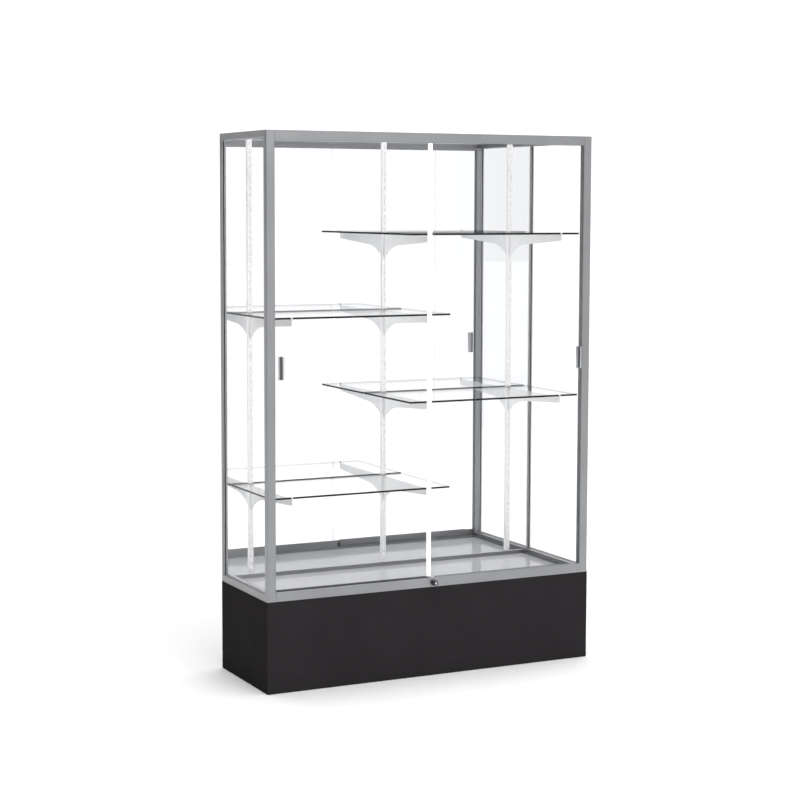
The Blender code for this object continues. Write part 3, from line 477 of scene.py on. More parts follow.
# The seal's vinyl carries a painted glow: emission for light that comes through it from behind.
MILKY_VINYL_PAINTED_GLOW = MouldedOrPainted(
    "milky_vinyl_painted_glow", colour="fbfbfb", shade="f6f6f6", roughness=0.2, through=0.35
)
NYLON = MouldedOrPainted("nylon", colour="e6e3da", shade="dfdcd2", roughness=0.4, skin_mm=0.8)
DARK_CHROME = BrightMetal("black_chrome_plate", colour="5a5b5e")
BLACK_ENAMEL_AND_SLOT_SHADE = MouldedOrPainted("black_enamel_and_slot_shade", colour="0d0d0e", shade="101011", roughness=0.5)
BRIGHT_STEEL = BrightMetal("bright_steel", colour="b4b5b7", roughness=0.25)


# ------------------------------------------------------------------- studio

@dataclass(frozen=True)
class Glow:
    """A soft bright patch of the surroundings.

    It is full inside the first cosine from its direction and gone past the second.
    """

    name: str
    towards: tuple[float, float, float]
    full_cosine: float
    gone_cosine: float
    strength: float


@dataclass
class Studio:
    """A plain pale floor, soft light all round and the camera."""

    floor_reach: float = 40.0
    floor_colour: str = "fafafa"
    sky_base: float = 0.85
    return_watts: float = 6.0
    softbox_size: Flat = (3.0, 2.0)
    softbox_watts: float = 60.0
    softbox_place: Place = (0.2, -5.0, 3.8)
    softbox_aim: Place = (0.0, 0.0, 0.7)
    lobes: tuple[Glow, ...] = (
        Glow("backdrop", (0.44, 0.89, 0.0), 0.93, 0.70, 0.35),
        Glow("front wall", (0.14, -0.99, 0.0), 0.99, 0.82, 0.34),
        Glow("left box", (-0.88, -0.43, 0.0), 0.985, 0.93, 1.0),
        Glow("left shade", (-1.0, -0.2, 0.0), 0.80, 0.0, -1.0),
        Glow("ceiling", (0.0, 0.0, 1.0), 0.90, 0.35, 1.0),
    )
    camera_place: tuple[float, float, float] = (-2.9160, -5.7664, 1.5946)
    camera_yaw: float = 26.401
    camera_pitch: float = 5.329
    camera_roll: float = 0.152
    camera_lens: float = 84.66
    camera_shift: tuple[float, float] = (0.0079, -0.0256)

    def build(self) -> None:
        """Makes the floor, the light and the camera."""
        self.lay_floor()
        self.light_sky()
        self.hang_softbox()
        self.return_light()
        self.stand_camera()

    def lay_floor(self) -> None:
        """A large pale sheet with a hair of gap under the plinth."""
        mesh = bpy.data.meshes.new("floor")
        sheet = bmesh.new()
        bmesh.ops.create_grid(sheet, x_segments=1, y_segments=1, size=self.floor_reach)
        bmesh.ops.translate(sheet, vec=(0, 0, -0.2 * MM), verts=sheet.verts)
        sheet.to_mesh(mesh)
        sheet.free()
        floor = bpy.data.objects.new("floor", mesh)
        bpy.context.collection.objects.link(floor)
        paper = MouldedOrPainted(
            "studio_paper", colour=self.floor_colour, shade=self.floor_colour,
            roughness=0.9, skin_mm=3.0,
        )
        mesh.materials.append(paper.material())

    def light_sky(self) -> None:
        """Soft light from every side, with brighter patches."""
        world = bpy.data.worlds.new("studio_light")
        bpy.context.scene.world = world
        world.use_nodes = True
        tree = world.node_tree
        tree.nodes.clear()
        place = add_node(tree, "ShaderNodeTexCoord")
        strength: object = self.sky_base
        for lobe in self.lobes:
            cosine = add_node(tree, "ShaderNodeVectorMath", {
                0: place.outputs["Generated"], 1: Vector(lobe.towards).normalized(),
            }, operation="DOT_PRODUCT", label=lobe.name)
            share = add_node(tree, "ShaderNodeMapRange", {
                "Value": cosine.outputs["Value"],
                "From Min": lobe.gone_cosine, "From Max": lobe.full_cosine,
                "To Min": 0.0, "To Max": lobe.strength,
            }, interpolation_type="SMOOTHSTEP")
            total = add_node(tree, "ShaderNodeMath", {
                0: share.outputs["Result"], 1: strength,
            }, operation="ADD")
            strength = total.outputs["Value"]
        light = add_node(tree, "ShaderNodeBackground", {
            "Color": linear("ffffff"), "Strength": strength,
        })
        add_node(tree, "ShaderNodeOutputWorld", {"Surface": light.outputs["Background"]})

    def panel(self, name: str, size: Flat, watts: float) -> bpy.types.Object:
        """A flat rectangular lamp, which shines along its own -Z.

        Args:
            name: The lamp's name.
            size: Its width and height.
            watts: Its power.

        Returns:
            The lamp's object, at the origin.
        """
        lamp = bpy.data.lights.new(name, "AREA")
        lamp.shape = "RECTANGLE"
        lamp.size, lamp.size_y = size
        lamp.energy = watts
        holder = bpy.data.objects.new(name, lamp)
        bpy.context.collection.objects.link(holder)
        return holder

    def hang_softbox(self) -> None:
        """One broad lamp above the front, a little to the right."""
        stand = self.panel("softbox", self.softbox_size, self.softbox_watts)
        stand.location = self.softbox_place
        aim = Vector(self.softbox_aim) - stand.location
        stand.rotation_euler = aim.to_track_quat("-Z", "Y").to_euler()

    def return_light(self) -> None:
        """A lamp on the mirror's face, which only matt surfaces see.

        It stands for the light that the mirror sends back into the case, as light
        that reaches a matt surface off a mirror is not traced.
        """
        low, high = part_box("mirror_back")
        size = (high.x - low.x, high.z - low.z)
        holder = self.panel("mirror_return", size, self.return_watts)
        holder.location = (0.0, low.y - 0.1 * MM, (low.z + high.z) / 2)
        holder.rotation_euler = (math.radians(-90), 0.0, 0.0)
        holder.visible_camera = False
        holder.visible_glossy = False
        holder.visible_transmission = False

    def stand_camera(self) -> None:
        """Sets the camera at the front left, a little above the middle of the case."""
        lens = bpy.data.cameras.new("camera")
        lens.sensor_width = 36.0
        lens.lens = self.camera_lens
        lens.shift_x, lens.shift_y = self.camera_shift
        lens.clip_start, lens.clip_end = 0.1, 200.0
        camera = bpy.data.objects.new("camera", lens)
        level = Matrix.Rotation(math.radians(90 - self.camera_pitch), 4, "X")
        turned = Matrix.Rotation(math.radians(-self.camera_yaw), 4, "Z")
        rolled = Matrix.Rotation(math.radians(self.camera_roll), 4, "Z")
        camera.matrix_world = Matrix.Translation(self.camera_place) @ turned @ level @ rolled
        bpy.context.collection.objects.link(camera)
        bpy.context.scene.camera = camera
        bpy.context.scene.view_settings.view_transform = "Standard"


# ---------------------------------------------------------------- workbench

FACES_FRONT = Matrix.Rotation(math.radians(90), 4, "X")
FACES_BACK = Matrix.Rotation(math.radians(-90), 4, "X")
SMOOTH_ANGLE = math.radians(35)


def finished(
    name: str, shape: bmesh.types.BMesh, finish: Finish, body: str
) -> bpy.types.Object:
    """Turns a closed shape into a piece that rides on a body.

    Args:
        name: The piece's name.
        shape: The shape, which is used up.
        finish: The piece's finish.
        body: The CAD body it rides on.

    Returns:
        The new piece, with its place in its mesh.
    """
    bmesh.ops.remove_doubles(shape, verts=shape.verts, dist=0.001 * MM)
    bmesh.ops.recalc_face_normals(shape, faces=shape.faces)
    mesh = bpy.data.meshes.new(name)
    shape.to_mesh(mesh)
    shape.free()
    mesh.shade_smooth()
    mesh.set_sharp_from_angle(angle=SMOOTH_ANGLE)
    mesh.materials.clear()
    mesh.materials.append(finish.material())
    piece = bpy.data.objects.new(name, mesh)
    bpy.context.collection.objects.link(piece)
    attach(piece, body)
    LOG.info("%s: %s on %s, %d faces", name, finish.name, body, len(mesh.polygons))
    return piece


def drawn_out(outline: Sequence[Flat], low: float, high: float, ease: float) -> bmesh.types.BMesh:
    """An outline in plan drawn up from one height to another, with eased edges.

    Args:
        outline: Its corners, as (x, y).
        low: The bottom's height.
        high: The top's height.
        ease: How much its sharp edges are rounded by.

    Returns:
        The shape.
    """
    shape = bmesh.new()
    face = shape.faces.new([shape.verts.new((x, y, low)) for x, y in outline])
    grown = bmesh.ops.extrude_face_region(shape, geom=[face])["geom"]
    risen = [item for item in grown if isinstance(item, bmesh.types.BMVert)]
    bmesh.ops.translate(shape, vec=(0, 0, high - low), verts=risen)
    bmesh.ops.recalc_face_normals(shape, faces=shape.faces)
    sharp = [edge for edge in shape.edges
             if edge.is_convex and edge.calc_face_angle(0.0) > SMOOTH_ANGLE]
    bmesh.ops.bevel(
        shape, geom=sharp, offset=ease, segments=2, profile=0.5, affect="EDGES",
        clamp_overlap=True,
    )
    return shape


def turned(profile: Sequence[Flat], centre: Place, steps: int = 64) -> bmesh.types.BMesh:
    """A profile turned about a line along Y.

    Args:
        profile: Corners as (radius, y), from axis to axis or as a closed ring.
        centre: A point on the line; its y is added to the profile's.
        steps: How many faces go round.

    Returns:
        The shape.
    """
    shape = bmesh.new()
    corners = [shape.verts.new((radius, y, 0)) for radius, y in profile]
    edges = [shape.edges.new(pair) for pair in zip(corners, corners[1:])]
    if profile[0][0] > 0:
        edges.append(shape.edges.new((corners[-1], corners[0])))
    bmesh.ops.spin(
        shape, geom=corners + edges, cent=(0, 0, 0), axis=(0, 1, 0),
        angle=2 * math.pi, steps=steps, use_merge=True,
    )
    bmesh.ops.remove_doubles(shape, verts=shape.verts, dist=0.001 * MM)
    bmesh.ops.translate(shape, vec=centre, verts=shape.verts)
    return shape


def mitred_run(path: Sequence[Flat], section: Sequence[Flat]) -> bmesh.types.BMesh:
    """A section carried along straight runs in plan, with mitred corners.

    Args:
        path: The runs' corners, as (x, y), with the section's outer side to the right.
        section: The section's corners, as (outwards, z).

    Returns:
        The shape, closed at both ends.
    """
    shape = bmesh.new()
    points = [Vector(point) for point in path]
    rings = []
    for index, point in enumerate(points):
        before = (point - points[max(index - 1, 0)]).normalized()
        after = (points[min(index + 1, len(points) - 1)] - point).normalized()
        normals = [Vector((way.y, -way.x)) for way in (before, after) if way.length > 0]
        mitre = sum(normals, Vector((0, 0))).normalized()
        stretch = 1 / mitre.dot(normals[0])
        rings.append([
            shape.verts.new((*(point + mitre * out * stretch), z)) for out, z in section
        ])
    for ring, following in zip(rings, rings[1:]):
        for index in range(len(section)):
            beside = (index + 1) % len(section)
            shape.faces.new((ring[index], ring[beside], following[beside], following[index]))
    shape.faces.new(rings[0])
    shape.faces.new(list(reversed(rings[-1])))
    return shape


class Pattern:
    """A Geometry Nodes tree that repeats a piece or carries one along a path."""

    name = "pattern"
    sizes: dict[str, str] = {}

    def shape(self, tree: bpy.types.NodeTree, entry: bpy.types.Node) -> bpy.types.NodeSocket:
        """Builds the tree's own nodes and returns the socket of its geometry."""
        raise NotImplementedError

    def tree(self) -> bpy.types.NodeTree:
        """Returns the tree, building it the first time it is asked for."""
        known = bpy.data.node_groups.get(self.name)
        if known:
            return known
        tree = bpy.data.node_groups.new(self.name, "GeometryNodeTree")
        face = tree.interface
        face.new_socket("Geometry", in_out="INPUT", socket_type="NodeSocketGeometry")
        for label, kind in self.sizes.items():
            face.new_socket(label, in_out="INPUT", socket_type=kind)
        face.new_socket("Finish", in_out="INPUT", socket_type="NodeSocketMaterial")
        face.new_socket("Geometry", in_out="OUTPUT", socket_type="NodeSocketGeometry")
        entry = add_node(tree, "NodeGroupInput")
        real = add_node(tree, "GeometryNodeRealizeInstances", {
            "Geometry": self.shape(tree, entry),
        })
        dressed = add_node(tree, "GeometryNodeSetMaterial", {
            "Geometry": real.outputs["Geometry"], "Material": entry.outputs["Finish"],
        })
        add_node(tree, "NodeGroupOutput", {"Geometry": dressed.outputs["Geometry"]})
        return tree

    def lay(
        self, name: str, carrier: bmesh.types.BMesh, finish: Finish, body: str, slot: str,
        turn: Matrix | None = None, **values: float | Place,
    ) -> bpy.types.Object:
        """Runs the tree on a carrier and makes the result a plain piece.

        Args:
            name: The piece's name.
            carrier: The points or the path, in the model's frame, which is used up.
            finish: The piece's finish.
            body: The CAD body it rides on.
            slot: The record's material slot; not used.
            turn: How the repeated piece's own +Z is turned; none leaves it upright.
            values: The tree's sizes by name, with spaces as underscores.

        Returns:
            The new piece.
        """
        turn = turn or Matrix.Identity(4)
        bmesh.ops.transform(carrier, matrix=turn.inverted(), verts=carrier.verts)
        mesh = bpy.data.meshes.new(f"{name}_carrier")
        carrier.to_mesh(mesh)
        carrier.free()
        holder = bpy.data.objects.new(f"{name}_carrier", mesh)
        bpy.context.collection.objects.link(holder)
        tree = self.tree()
        modifier = holder.modifiers.new("pattern", "NODES")
        modifier.node_group = tree
        given = {key.replace("_", " "): value for key, value in values.items()}
        given["Finish"] = finish.material()
        for item in tree.interface.items_tree:
            if item.in_out == "INPUT" and item.name in given:
                modifier[item.identifier] = given[item.name]
        bpy.context.view_layer.update()
        evaluated = holder.evaluated_get(bpy.context.evaluated_depsgraph_get())
        made = bpy.data.meshes.new_from_object(evaluated)
        holder.modifiers.remove(modifier)
        bpy.data.objects.remove(holder)
        made.transform(turn)
        shape = bmesh.new()
        shape.from_mesh(made)
        return finished(name, shape, finish, body)


class PanHeads(Pattern):
    """Pan-head screws with a crossed recess, one on each point of the carrier."""

    name = "pan_heads"
    sizes = {"Radius": "NodeSocketFloat", "Height": "NodeSocketFloat"}

    def shape(self, tree: bpy.types.NodeTree, entry: bpy.types.Node) -> bpy.types.NodeSocket:
        """A short cone less two crossed bars, set on every point."""
        radius, height = entry.outputs["Radius"], entry.outputs["Height"]
        crown = add_node(tree, "ShaderNodeMath", {0: radius, 1: 0.72}, operation="MULTIPLY")
        head = add_node(tree, "GeometryNodeMeshCone", {
            "Vertices": 20, "Radius Bottom": radius, "Radius Top": crown.outputs["Value"],
            "Depth": height,
        })
        long = add_node(tree, "ShaderNodeMath", {0: radius, 1: 1.05}, operation="MULTIPLY")
        slim = add_node(tree, "ShaderNodeMath", {0: radius, 1: 0.24}, operation="MULTIPLY")
        bars = []
        for across, along in ((long, slim), (slim, long)):
            size = add_node(tree, "ShaderNodeCombineXYZ", {
                "X": across.outputs["Value"], "Y": along.outputs["Value"], "Z": height,
            })
            bar = add_node(tree, "GeometryNodeMeshCube", {"Size": size.outputs["Vector"]})
            lift = add_node(tree, "ShaderNodeCombineXYZ", {"Z": height})
            bars.append(add_node(tree, "GeometryNodeTransform", {
                "Geometry": bar.outputs["Mesh"], "Translation": lift.outputs["Vector"],
            }))
        recessed = add_node(tree, "GeometryNodeMeshBoolean", {
            "Mesh 1": head.outputs["Mesh"],
        }, operation="DIFFERENCE")
        for bar in bars:
            tree.links.new(bar.outputs["Geometry"], recessed.inputs["Mesh 2"])
        spread = add_node(tree, "GeometryNodeInstanceOnPoints", {
            "Points": entry.outputs["Geometry"], "Instance": recessed.outputs["Mesh"],
        })
        return spread.outputs["Instances"]


class Bead(Pattern):
    """A round vinyl glazing bead along the carrier's edges."""

    name = "glazing_bead"
    sizes = {"Radius": "NodeSocketFloat"}

    def shape(self, tree: bpy.types.NodeTree, entry: bpy.types.Node) -> bpy.types.NodeSocket:
        """A circle carried along the path."""
        path = add_node(tree, "GeometryNodeMeshToCurve", {"Mesh": entry.outputs["Geometry"]})
        section = add_node(tree, "GeometryNodeCurvePrimitiveCircle", {
            "Resolution": 12, "Radius": entry.outputs["Radius"],
        }, mode="RADIUS")
        tube = add_node(tree, "GeometryNodeCurveToMesh", {
            "Curve": path.outputs["Curve"], "Profile Curve": section.outputs["Curve"],
            "Fill Caps": True,
        })
        return tube.outputs["Mesh"]


class Cushions(Pattern):
    """Soft-cornered blocks, one on each point of the carrier."""

    name = "cushions"
    sizes = {"Size": "NodeSocketVector"}

    def shape(self, tree: bpy.types.NodeTree, entry: bpy.types.Node) -> bpy.types.NodeSocket:
        """A block whose corners are rounded by subdivision, set on every point."""
        block = add_node(tree, "GeometryNodeMeshCube", {
            "Size": entry.outputs["Size"],
            "Vertices X": 4, "Vertices Y": 4, "Vertices Z": 4,
        })
        soft = add_node(tree, "GeometryNodeSubdivisionSurface", {
            "Mesh": block.outputs["Mesh"], "Level": 1,
        })
        spread = add_node(tree, "GeometryNodeInstanceOnPoints", {
            "Points": entry.outputs["Geometry"], "Instance": soft.outputs["Mesh"],
        })
        return spread.outputs["Instances"]


def points_at(places: Iterable[Place]) -> bmesh.types.BMesh:
    """A carrier of loose points."""
    carrier = bmesh.new()
    for place in places:
        carrier.verts.new(place)
    return carrier


def loop_through(places: Sequence[Place]) -> bmesh.types.BMesh:
    """A carrier of edges round a closed loop of corners."""
    carrier = bmesh.new()
    corners = [carrier.verts.new(place) for place in places]
    for corner, following in zip(corners, corners[1:] + corners[:1]):
        carrier.edges.new((corner, following))
    return carrier


def rectangle(
    across: Axis, place: float, first: Flat, second: Flat
) -> list[Place]:
    """A rectangle's corners, in a plane across one axis.

    Args:
        across: The axis that the plane is square to.
        place: The plane's place on that axis.
        first: The span along the lower of the other two axes.
        second: The span along the higher one.

    Returns:
        Four corners, in order.
    """
    corners = []
    for u, v in ((0, 0), (1, 0), (1, 1), (0, 1)):
        corner = [first[u], second[v]]
        corner.insert(across.value, place)
        corners.append(tuple(corner))
    return corners


def dress(node_name: str, finish: Finish) -> None:
    """Gives a CAD node a finish."""
    node = bpy.data.objects[node_name]
    node.data.materials.clear()
    node.data.materials.append(finish.material())
    LOG.info("%s: %s", node_name, finish.name)


# ------------------------------------------------------------ sub-assemblies

@dataclass
class Plinth:
    """The black base: laminated boards, and the grey deck above it."""

    boards: tuple[str, ...] = ("front", "back", "left", "right", "brace", "top")

    def build(self) -> None:
        """Dresses the boards and the deck."""
        for word in self.boards:
            dress(f"plinth_{word}", BLACK_LAMINATE)
        dress("deck_panel", DECK_LAMINATE)


@dataclass
class Frame:
    """Posts and rails, with the lip round their foot and the beads round the panes."""

    bead_radius: float = 1.2 * MM
    mirror_bead_radius: float = 1.5 * MM
    lip_height: float = 4.2 * MM
    lip_chamfer: float = 0.5 * MM
    lip_tuck: float = 0.1 * MM
    lip_foot_share: float = 0.45
    jamb_thickness: float = 0.9 * MM
    jamb_setback: float = 4.5 * MM
    jamb_ease: float = 0.2 * MM

    def build(self) -> None:
        """Builds the frame's trims and dresses its members."""
        self.dress_members()
        self.fold_lip()
        self.bed_side_panes()
        self.bed_top_pane()
        self.bed_mirror()
        self.paint_jamb_shade()

    def dress_members(self) -> None:
        """Each member's die lines run along it."""
        for word in ("left", "right"):
            dress(f"post_front_{word}", ALUMINIUM[Axis.Z])
            dress(f"post_rear_{word}", ALUMINIUM[Axis.Z])
            dress(f"glass_{word}", GLASS[Axis.X])
            for level in ("top", "bottom"):
                dress(f"rail_{level}_{word}", ALUMINIUM[Axis.Y])
        for level in ("top", "bottom"):
            for face in ("front", "rear"):
                dress(f"rail_{level}_{face}", ALUMINIUM[Axis.X])
        dress("glass_top", GLASS[Axis.Z])

    def fold_lip(self) -> None:
        """A rolled lip round the frame's foot, level with the plinth's faces."""
        post_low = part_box("post_front_left")[0]
        proud = post_low.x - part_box("plinth_front")[0].x
        foot, crown, tuck = post_low.z, post_low.z + self.lip_height, self.lip_tuck
        section = [
            (-tuck, crown),
            (proud - self.lip_chamfer, crown),
            (proud, crown - self.lip_chamfer),
            (proud, crown - 2 * self.lip_chamfer),
            (proud * self.lip_foot_share, foot + tuck),
            (-tuck, foot + tuck),
        ]
        left, front, back = post_low.x, post_low.y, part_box("post_rear_right")[1].y
        path = [(left, back), (left, front), (-left, front), (-left, back)]
        finished(
            "base_lip", mitred_run(path, section), ALUMINIUM[Axis.X], "root"
        )

    def lay_bead(self, name: str, radius: float, corners: Sequence[Place]) -> None:
        """A grey vinyl bead through a loop of corners."""
        Bead().lay(
            name, loop_through(corners), GREY_VINYL, "root", "track_plastic", Radius=radius
        )

    def bed_side_panes(self) -> None:
        """A bead inside and outside each side pane, along its four edges."""
        radius = self.bead_radius
        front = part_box("post_front_left")[1].y + radius
        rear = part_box("rail_top_rear")[0].y - radius
        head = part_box("rail_top_left")[0].z - radius
        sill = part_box("rail_bottom_left")[1].z + radius
        for side in Side:
            low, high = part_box(f"glass_{side.word}")
            faces = {"outer": high.x + radius, "inner": low.x - radius}
            if side is Side.LEFT:
                faces = {"outer": low.x - radius, "inner": high.x + radius}
            for face, place in faces.items():
                corners = rectangle(Axis.X, place, (front, rear), (sill, head))
                self.lay_bead(f"bead_{face}_{side.word}", radius, corners)

    def bed_top_pane(self) -> None:
        """A bead under the top pane's edges, against the rails."""
        radius = self.bead_radius
        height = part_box("glass_top")[0].z - radius
        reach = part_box("rail_top_right")[0].x - radius
        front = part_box("rail_top_front")[1].y + radius
        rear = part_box("rail_top_rear")[0].y - radius
        corners = rectangle(Axis.Z, height, (-reach, reach), (front, rear))
        self.lay_bead("bead_top", radius, corners)

    def bed_mirror(self) -> None:
        """A bead round the face of the mirror."""
        radius = self.mirror_bead_radius
        low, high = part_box("mirror_back")
        across, up = (low.x + radius, high.x - radius), (low.z + radius, high.z - radius)
        self.lay_bead("bead_mirror", radius, rectangle(Axis.Y, low.y - radius, across, up))

    def paint_jamb_shade(self) -> None:
        """A vinyl strip on each post where the doors close, coloured dark as painted shade for
        the door channel.
        """
        low_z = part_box("rail_bottom_front")[1].z
        high_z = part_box("rail_top_front")[0].z
        for side in Side:
            low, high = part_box(f"post_front_{side.word}")
            wall = low.x if side is Side.RIGHT else high.x
            edges = sorted((wall, wall - side.value * self.jamb_thickness))
            front, rear = low.y + self.jamb_setback, high.y
            outline = [(edges[0], front), (edges[1], front), (edges[1], rear), (edges[0], rear)]
            finished(
                f"jamb_lining_{side.word}", drawn_out(outline, low_z, high_z, self.jamb_ease),
                PAINTED_SHADE_VINYL, "root",
            )


@dataclass
class SlidingDoor:
    """A pane in its shoe, with its pull, its rollers and, on the right, its dust seal."""

    side: Side
    grip: float = 6.0 * MM
    flange: float = 2.0 * MM
    floor: float = 1.5 * MM
    ease: float = 0.6 * MM
    liner: float = 0.25 * MM
    liner_setback: float = 1.0 * MM
    liner_ease: float = 0.05 * MM
    seal_width: float = 14.0 * MM
    seal_wall: float = 0.6 * MM
    seal_end_gap: float = 2.0 * MM
    seal_fit: float = 0.05 * MM
    seal_ease: float = 0.1 * MM

    @property
    def body(self) -> str:
        """The CAD body that the door's pieces ride on."""
        return f"door_{self.side.word}"

    def build(self) -> None:
        """Builds and dresses the door."""
        word = self.side.word
        dress(f"door_glass_{word}", DOOR_GLASS)
        # The mirror's image leaves the doors' panes out: they add nothing to it, and a ray
        # passes only so many clear layers before it goes dark.
        bpy.data.objects[f"door_glass_{word}"].visible_glossy = False
        dress(f"door_shoe_{word}", ALUMINIUM[Axis.X])
        for number in (1, 2):
            dress(f"axle_{word}_{number}", BRIGHT_STEEL)
            dress(f"roller_{word}_{number}", NYLON)
        self.shape_pull()
        if self.side is Side.RIGHT:
            self.fit_seal()

    def shape_pull(self) -> None:
        """The pull in its full form, with a dark vinyl skin in its recess as painted shade."""
        word = self.side.word
        low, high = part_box(f"door_pull_{word}")
        floor_y = high.y - self.floor
        grip_x = high.x - self.grip
        outline = [
            (low.x, high.y), (low.x, low.y), (low.x + self.flange, low.y),
            (low.x + self.flange, floor_y), (grip_x, floor_y), (grip_x, low.y),
            (high.x, low.y), (high.x, high.y),
        ]
        pull = finished(
            f"pull_{word}", drawn_out(outline, low.z, high.z, self.ease),
            LIT_PULL_METAL, self.body,
        )
        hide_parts(f"door_pull_{word}")
        # The dark skin laid in the recess is painted shade.
        inner, outer = low.x + self.flange, grip_x
        skin, lip = self.liner, low.y + self.liner_setback
        lining = [
            (inner, lip), (inner + skin, lip),
            (inner + skin, floor_y - skin), (outer, floor_y - skin),
            (outer, floor_y), (inner, floor_y),
        ]
        finished(
            f"pull_lining_{word}",
            drawn_out(lining, low.z + skin, high.z - skin, self.liner_ease),
            PAINTED_SHADE_VINYL, self.body,
        )

    def fit_seal(self) -> None:
        """A milky channel over the pane's inner edge, which keeps dust out."""
        low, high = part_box("door_glass_right")
        shoe_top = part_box("door_shoe_right")[1].z
        track_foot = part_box("track_top")[0].z
        wall, gap = self.seal_wall, self.seal_fit
        front, back = low.y - gap - wall, high.y + gap + wall
        edge, end = low.x - gap - wall, low.x + self.seal_width
        outline = [
            (end, front), (end, front + wall), (edge + wall, front + wall),
            (edge + wall, back - wall), (end, back - wall), (end, back),
            (edge, back), (edge, front),
        ]
        low_z, high_z = shoe_top + self.seal_end_gap, track_foot - self.seal_end_gap
        # The seal's vinyl has a painted glow for light coming through it.
        finished(
            "seam_seal", drawn_out(outline, low_z, high_z, self.seal_ease),
            MILKY_VINYL_PAINTED_GLOW, self.body,
        )


@dataclass
class Tracks:
    """The ribbed bottom track, the finned top one and the stop on the rear shoe."""

    def build(self) -> None:
        """Dresses the tracks and the keeper."""
        dress("track_bottom", GREY_VINYL)
        dress("track_top", ALUMINIUM[Axis.X])
        dress("lock_keeper", BRIGHT_STEEL)


@dataclass
class PlungerLock:
    """The push lock on the sill, turned afresh with rounded lips and a black face ring."""

    lip: float = 0.5 * MM
    ring_width: float = 2.5 * MM
    ring_sink: float = 0.25 * MM
    core_gap: float = 0.3 * MM
    keyway_width: float = 1.2 * MM
    keyway_height: float = 6.0 * MM
    keyway_depth: float = 0.12 * MM
    keyway_sink: float = 0.08 * MM
    keyway_growth: float = 1.15
    flange_width: float = 1.2 * MM
    flange_depth: float = 2.0 * MM
    flange_edge: float = 1.5 * MM
    neck_step: float = 0.4 * MM
    drum_length: float = 8.0 * MM
    pin_radius: float = 2.9 * MM
    pin_tip_radius: float = 1.7 * MM
    pin_taper: float = 1.2 * MM
    ring_fit: float = 0.05 * MM
    core_rim: float = 0.3 * MM
    core_steps: int = 48

    def build(self) -> None:
        """Builds the barrel, the plunger, its ring and the key core."""
        self.turn_barrel()
        self.turn_plunger()
        self.turn_core()

    def turn_barrel(self) -> None:
        """A flanged tube whose mouth is rounded over."""
        low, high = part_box("lock_barrel")
        plunger_low, plunger_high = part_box("lock_plunger")
        post_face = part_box("rail_bottom_front")[0].y
        centre = (0.0, 0.0, (low.z + high.z) / 2)
        flange = (high.z - low.z) / 2
        bore = (plunger_high.z - plunger_low.z) / 2 + self.core_gap
        outer = flange - self.flange_width
        neck = outer - self.neck_step
        seat = post_face - self.core_gap
        lip = self.lip
        profile = [
            (bore, high.y), (neck, high.y), (neck, seat), (flange, seat),
            (flange, seat - self.flange_edge), (flange - lip, seat - self.flange_depth),
            (outer, seat - self.flange_depth), (outer, low.y + lip),
            (outer - lip * 0.3, low.y + lip * 0.3), (outer - lip, low.y),
            (bore + lip * 0.3, low.y), (bore, low.y + lip * 0.3),
        ]
        barrel = finished(
            "barrel", turned(profile, centre), DARK_CHROME, "root"
        )
        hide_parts("lock_barrel")

    def turn_plunger(self) -> None:
        """A drum with a black ring let into its face, and the pin behind it."""
        low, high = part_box("lock_plunger")
        core_low, core_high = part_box("lock_core")
        drum = (high.z - low.z) / 2
        centre = (0.0, 0.0, (low.z + high.z) / 2)
        core = (core_high.z - core_low.z) / 2 + self.core_gap
        drum_back = low.y + self.drum_length
        lip = self.lip
        sink = low.y + self.ring_sink
        rim = drum - (drum - core - self.ring_width) / 2
        profile = [
            (0.0, core_high.y + self.core_gap), (core, core_high.y + self.core_gap),
            (core, sink), (rim, sink), (rim, low.y), (drum - lip, low.y),
            (drum - lip * 0.3, low.y + lip * 0.3), (drum, low.y + lip),
            (drum, drum_back), (self.pin_radius, drum_back),
            (self.pin_radius, high.y - self.pin_taper),
            (self.pin_tip_radius, high.y), (0.0, high.y),
        ]
        plunger = finished(
            "plunger", turned(profile, centre), DARK_CHROME, "lock_plunger"
        )
        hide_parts("lock_plunger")
        thick = self.ring_sink * 0.8
        inner, outer = core + self.ring_fit, rim - self.ring_fit
        ring = [(inner, sink), (inner, sink - thick), (outer, sink - thick), (outer, sink)]
        finished(
            "plunger_ring", turned(ring, centre), BLACK_ENAMEL_AND_SLOT_SHADE, "lock_plunger"
        )

    def turn_core(self) -> None:
        """The key core: a bright disc, with a black block where the key slot is, as painted
        shade.
        """
        low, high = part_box("lock_core")
        radius = (high.z - low.z) / 2
        centre = (0.0, 0.0, (low.z + high.z) / 2)
        rim = self.core_rim
        profile = [
            (0.0, low.y), (radius - rim, low.y), (radius, low.y + rim),
            (radius, high.y), (0.0, high.y),
        ]
        core = finished(
            "key_core", turned(profile, centre, self.core_steps),
            BRIGHT_STEEL, "lock_core",
        )
        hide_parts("lock_core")
        # A black block in the key slot: painted shade for the slot. The same black enamel is the
        # real colour of the plunger's face ring.
        Cushions().lay(
            "key_slot_painted_shade", points_at([(0.0, low.y + self.keyway_sink, centre[2])]),
            BLACK_ENAMEL_AND_SLOT_SHADE, "lock_core", "steel_pin",
            Size=(
                self.keyway_width * self.keyway_growth,
                self.keyway_depth,
                self.keyway_height * self.keyway_growth,
            ),
        )


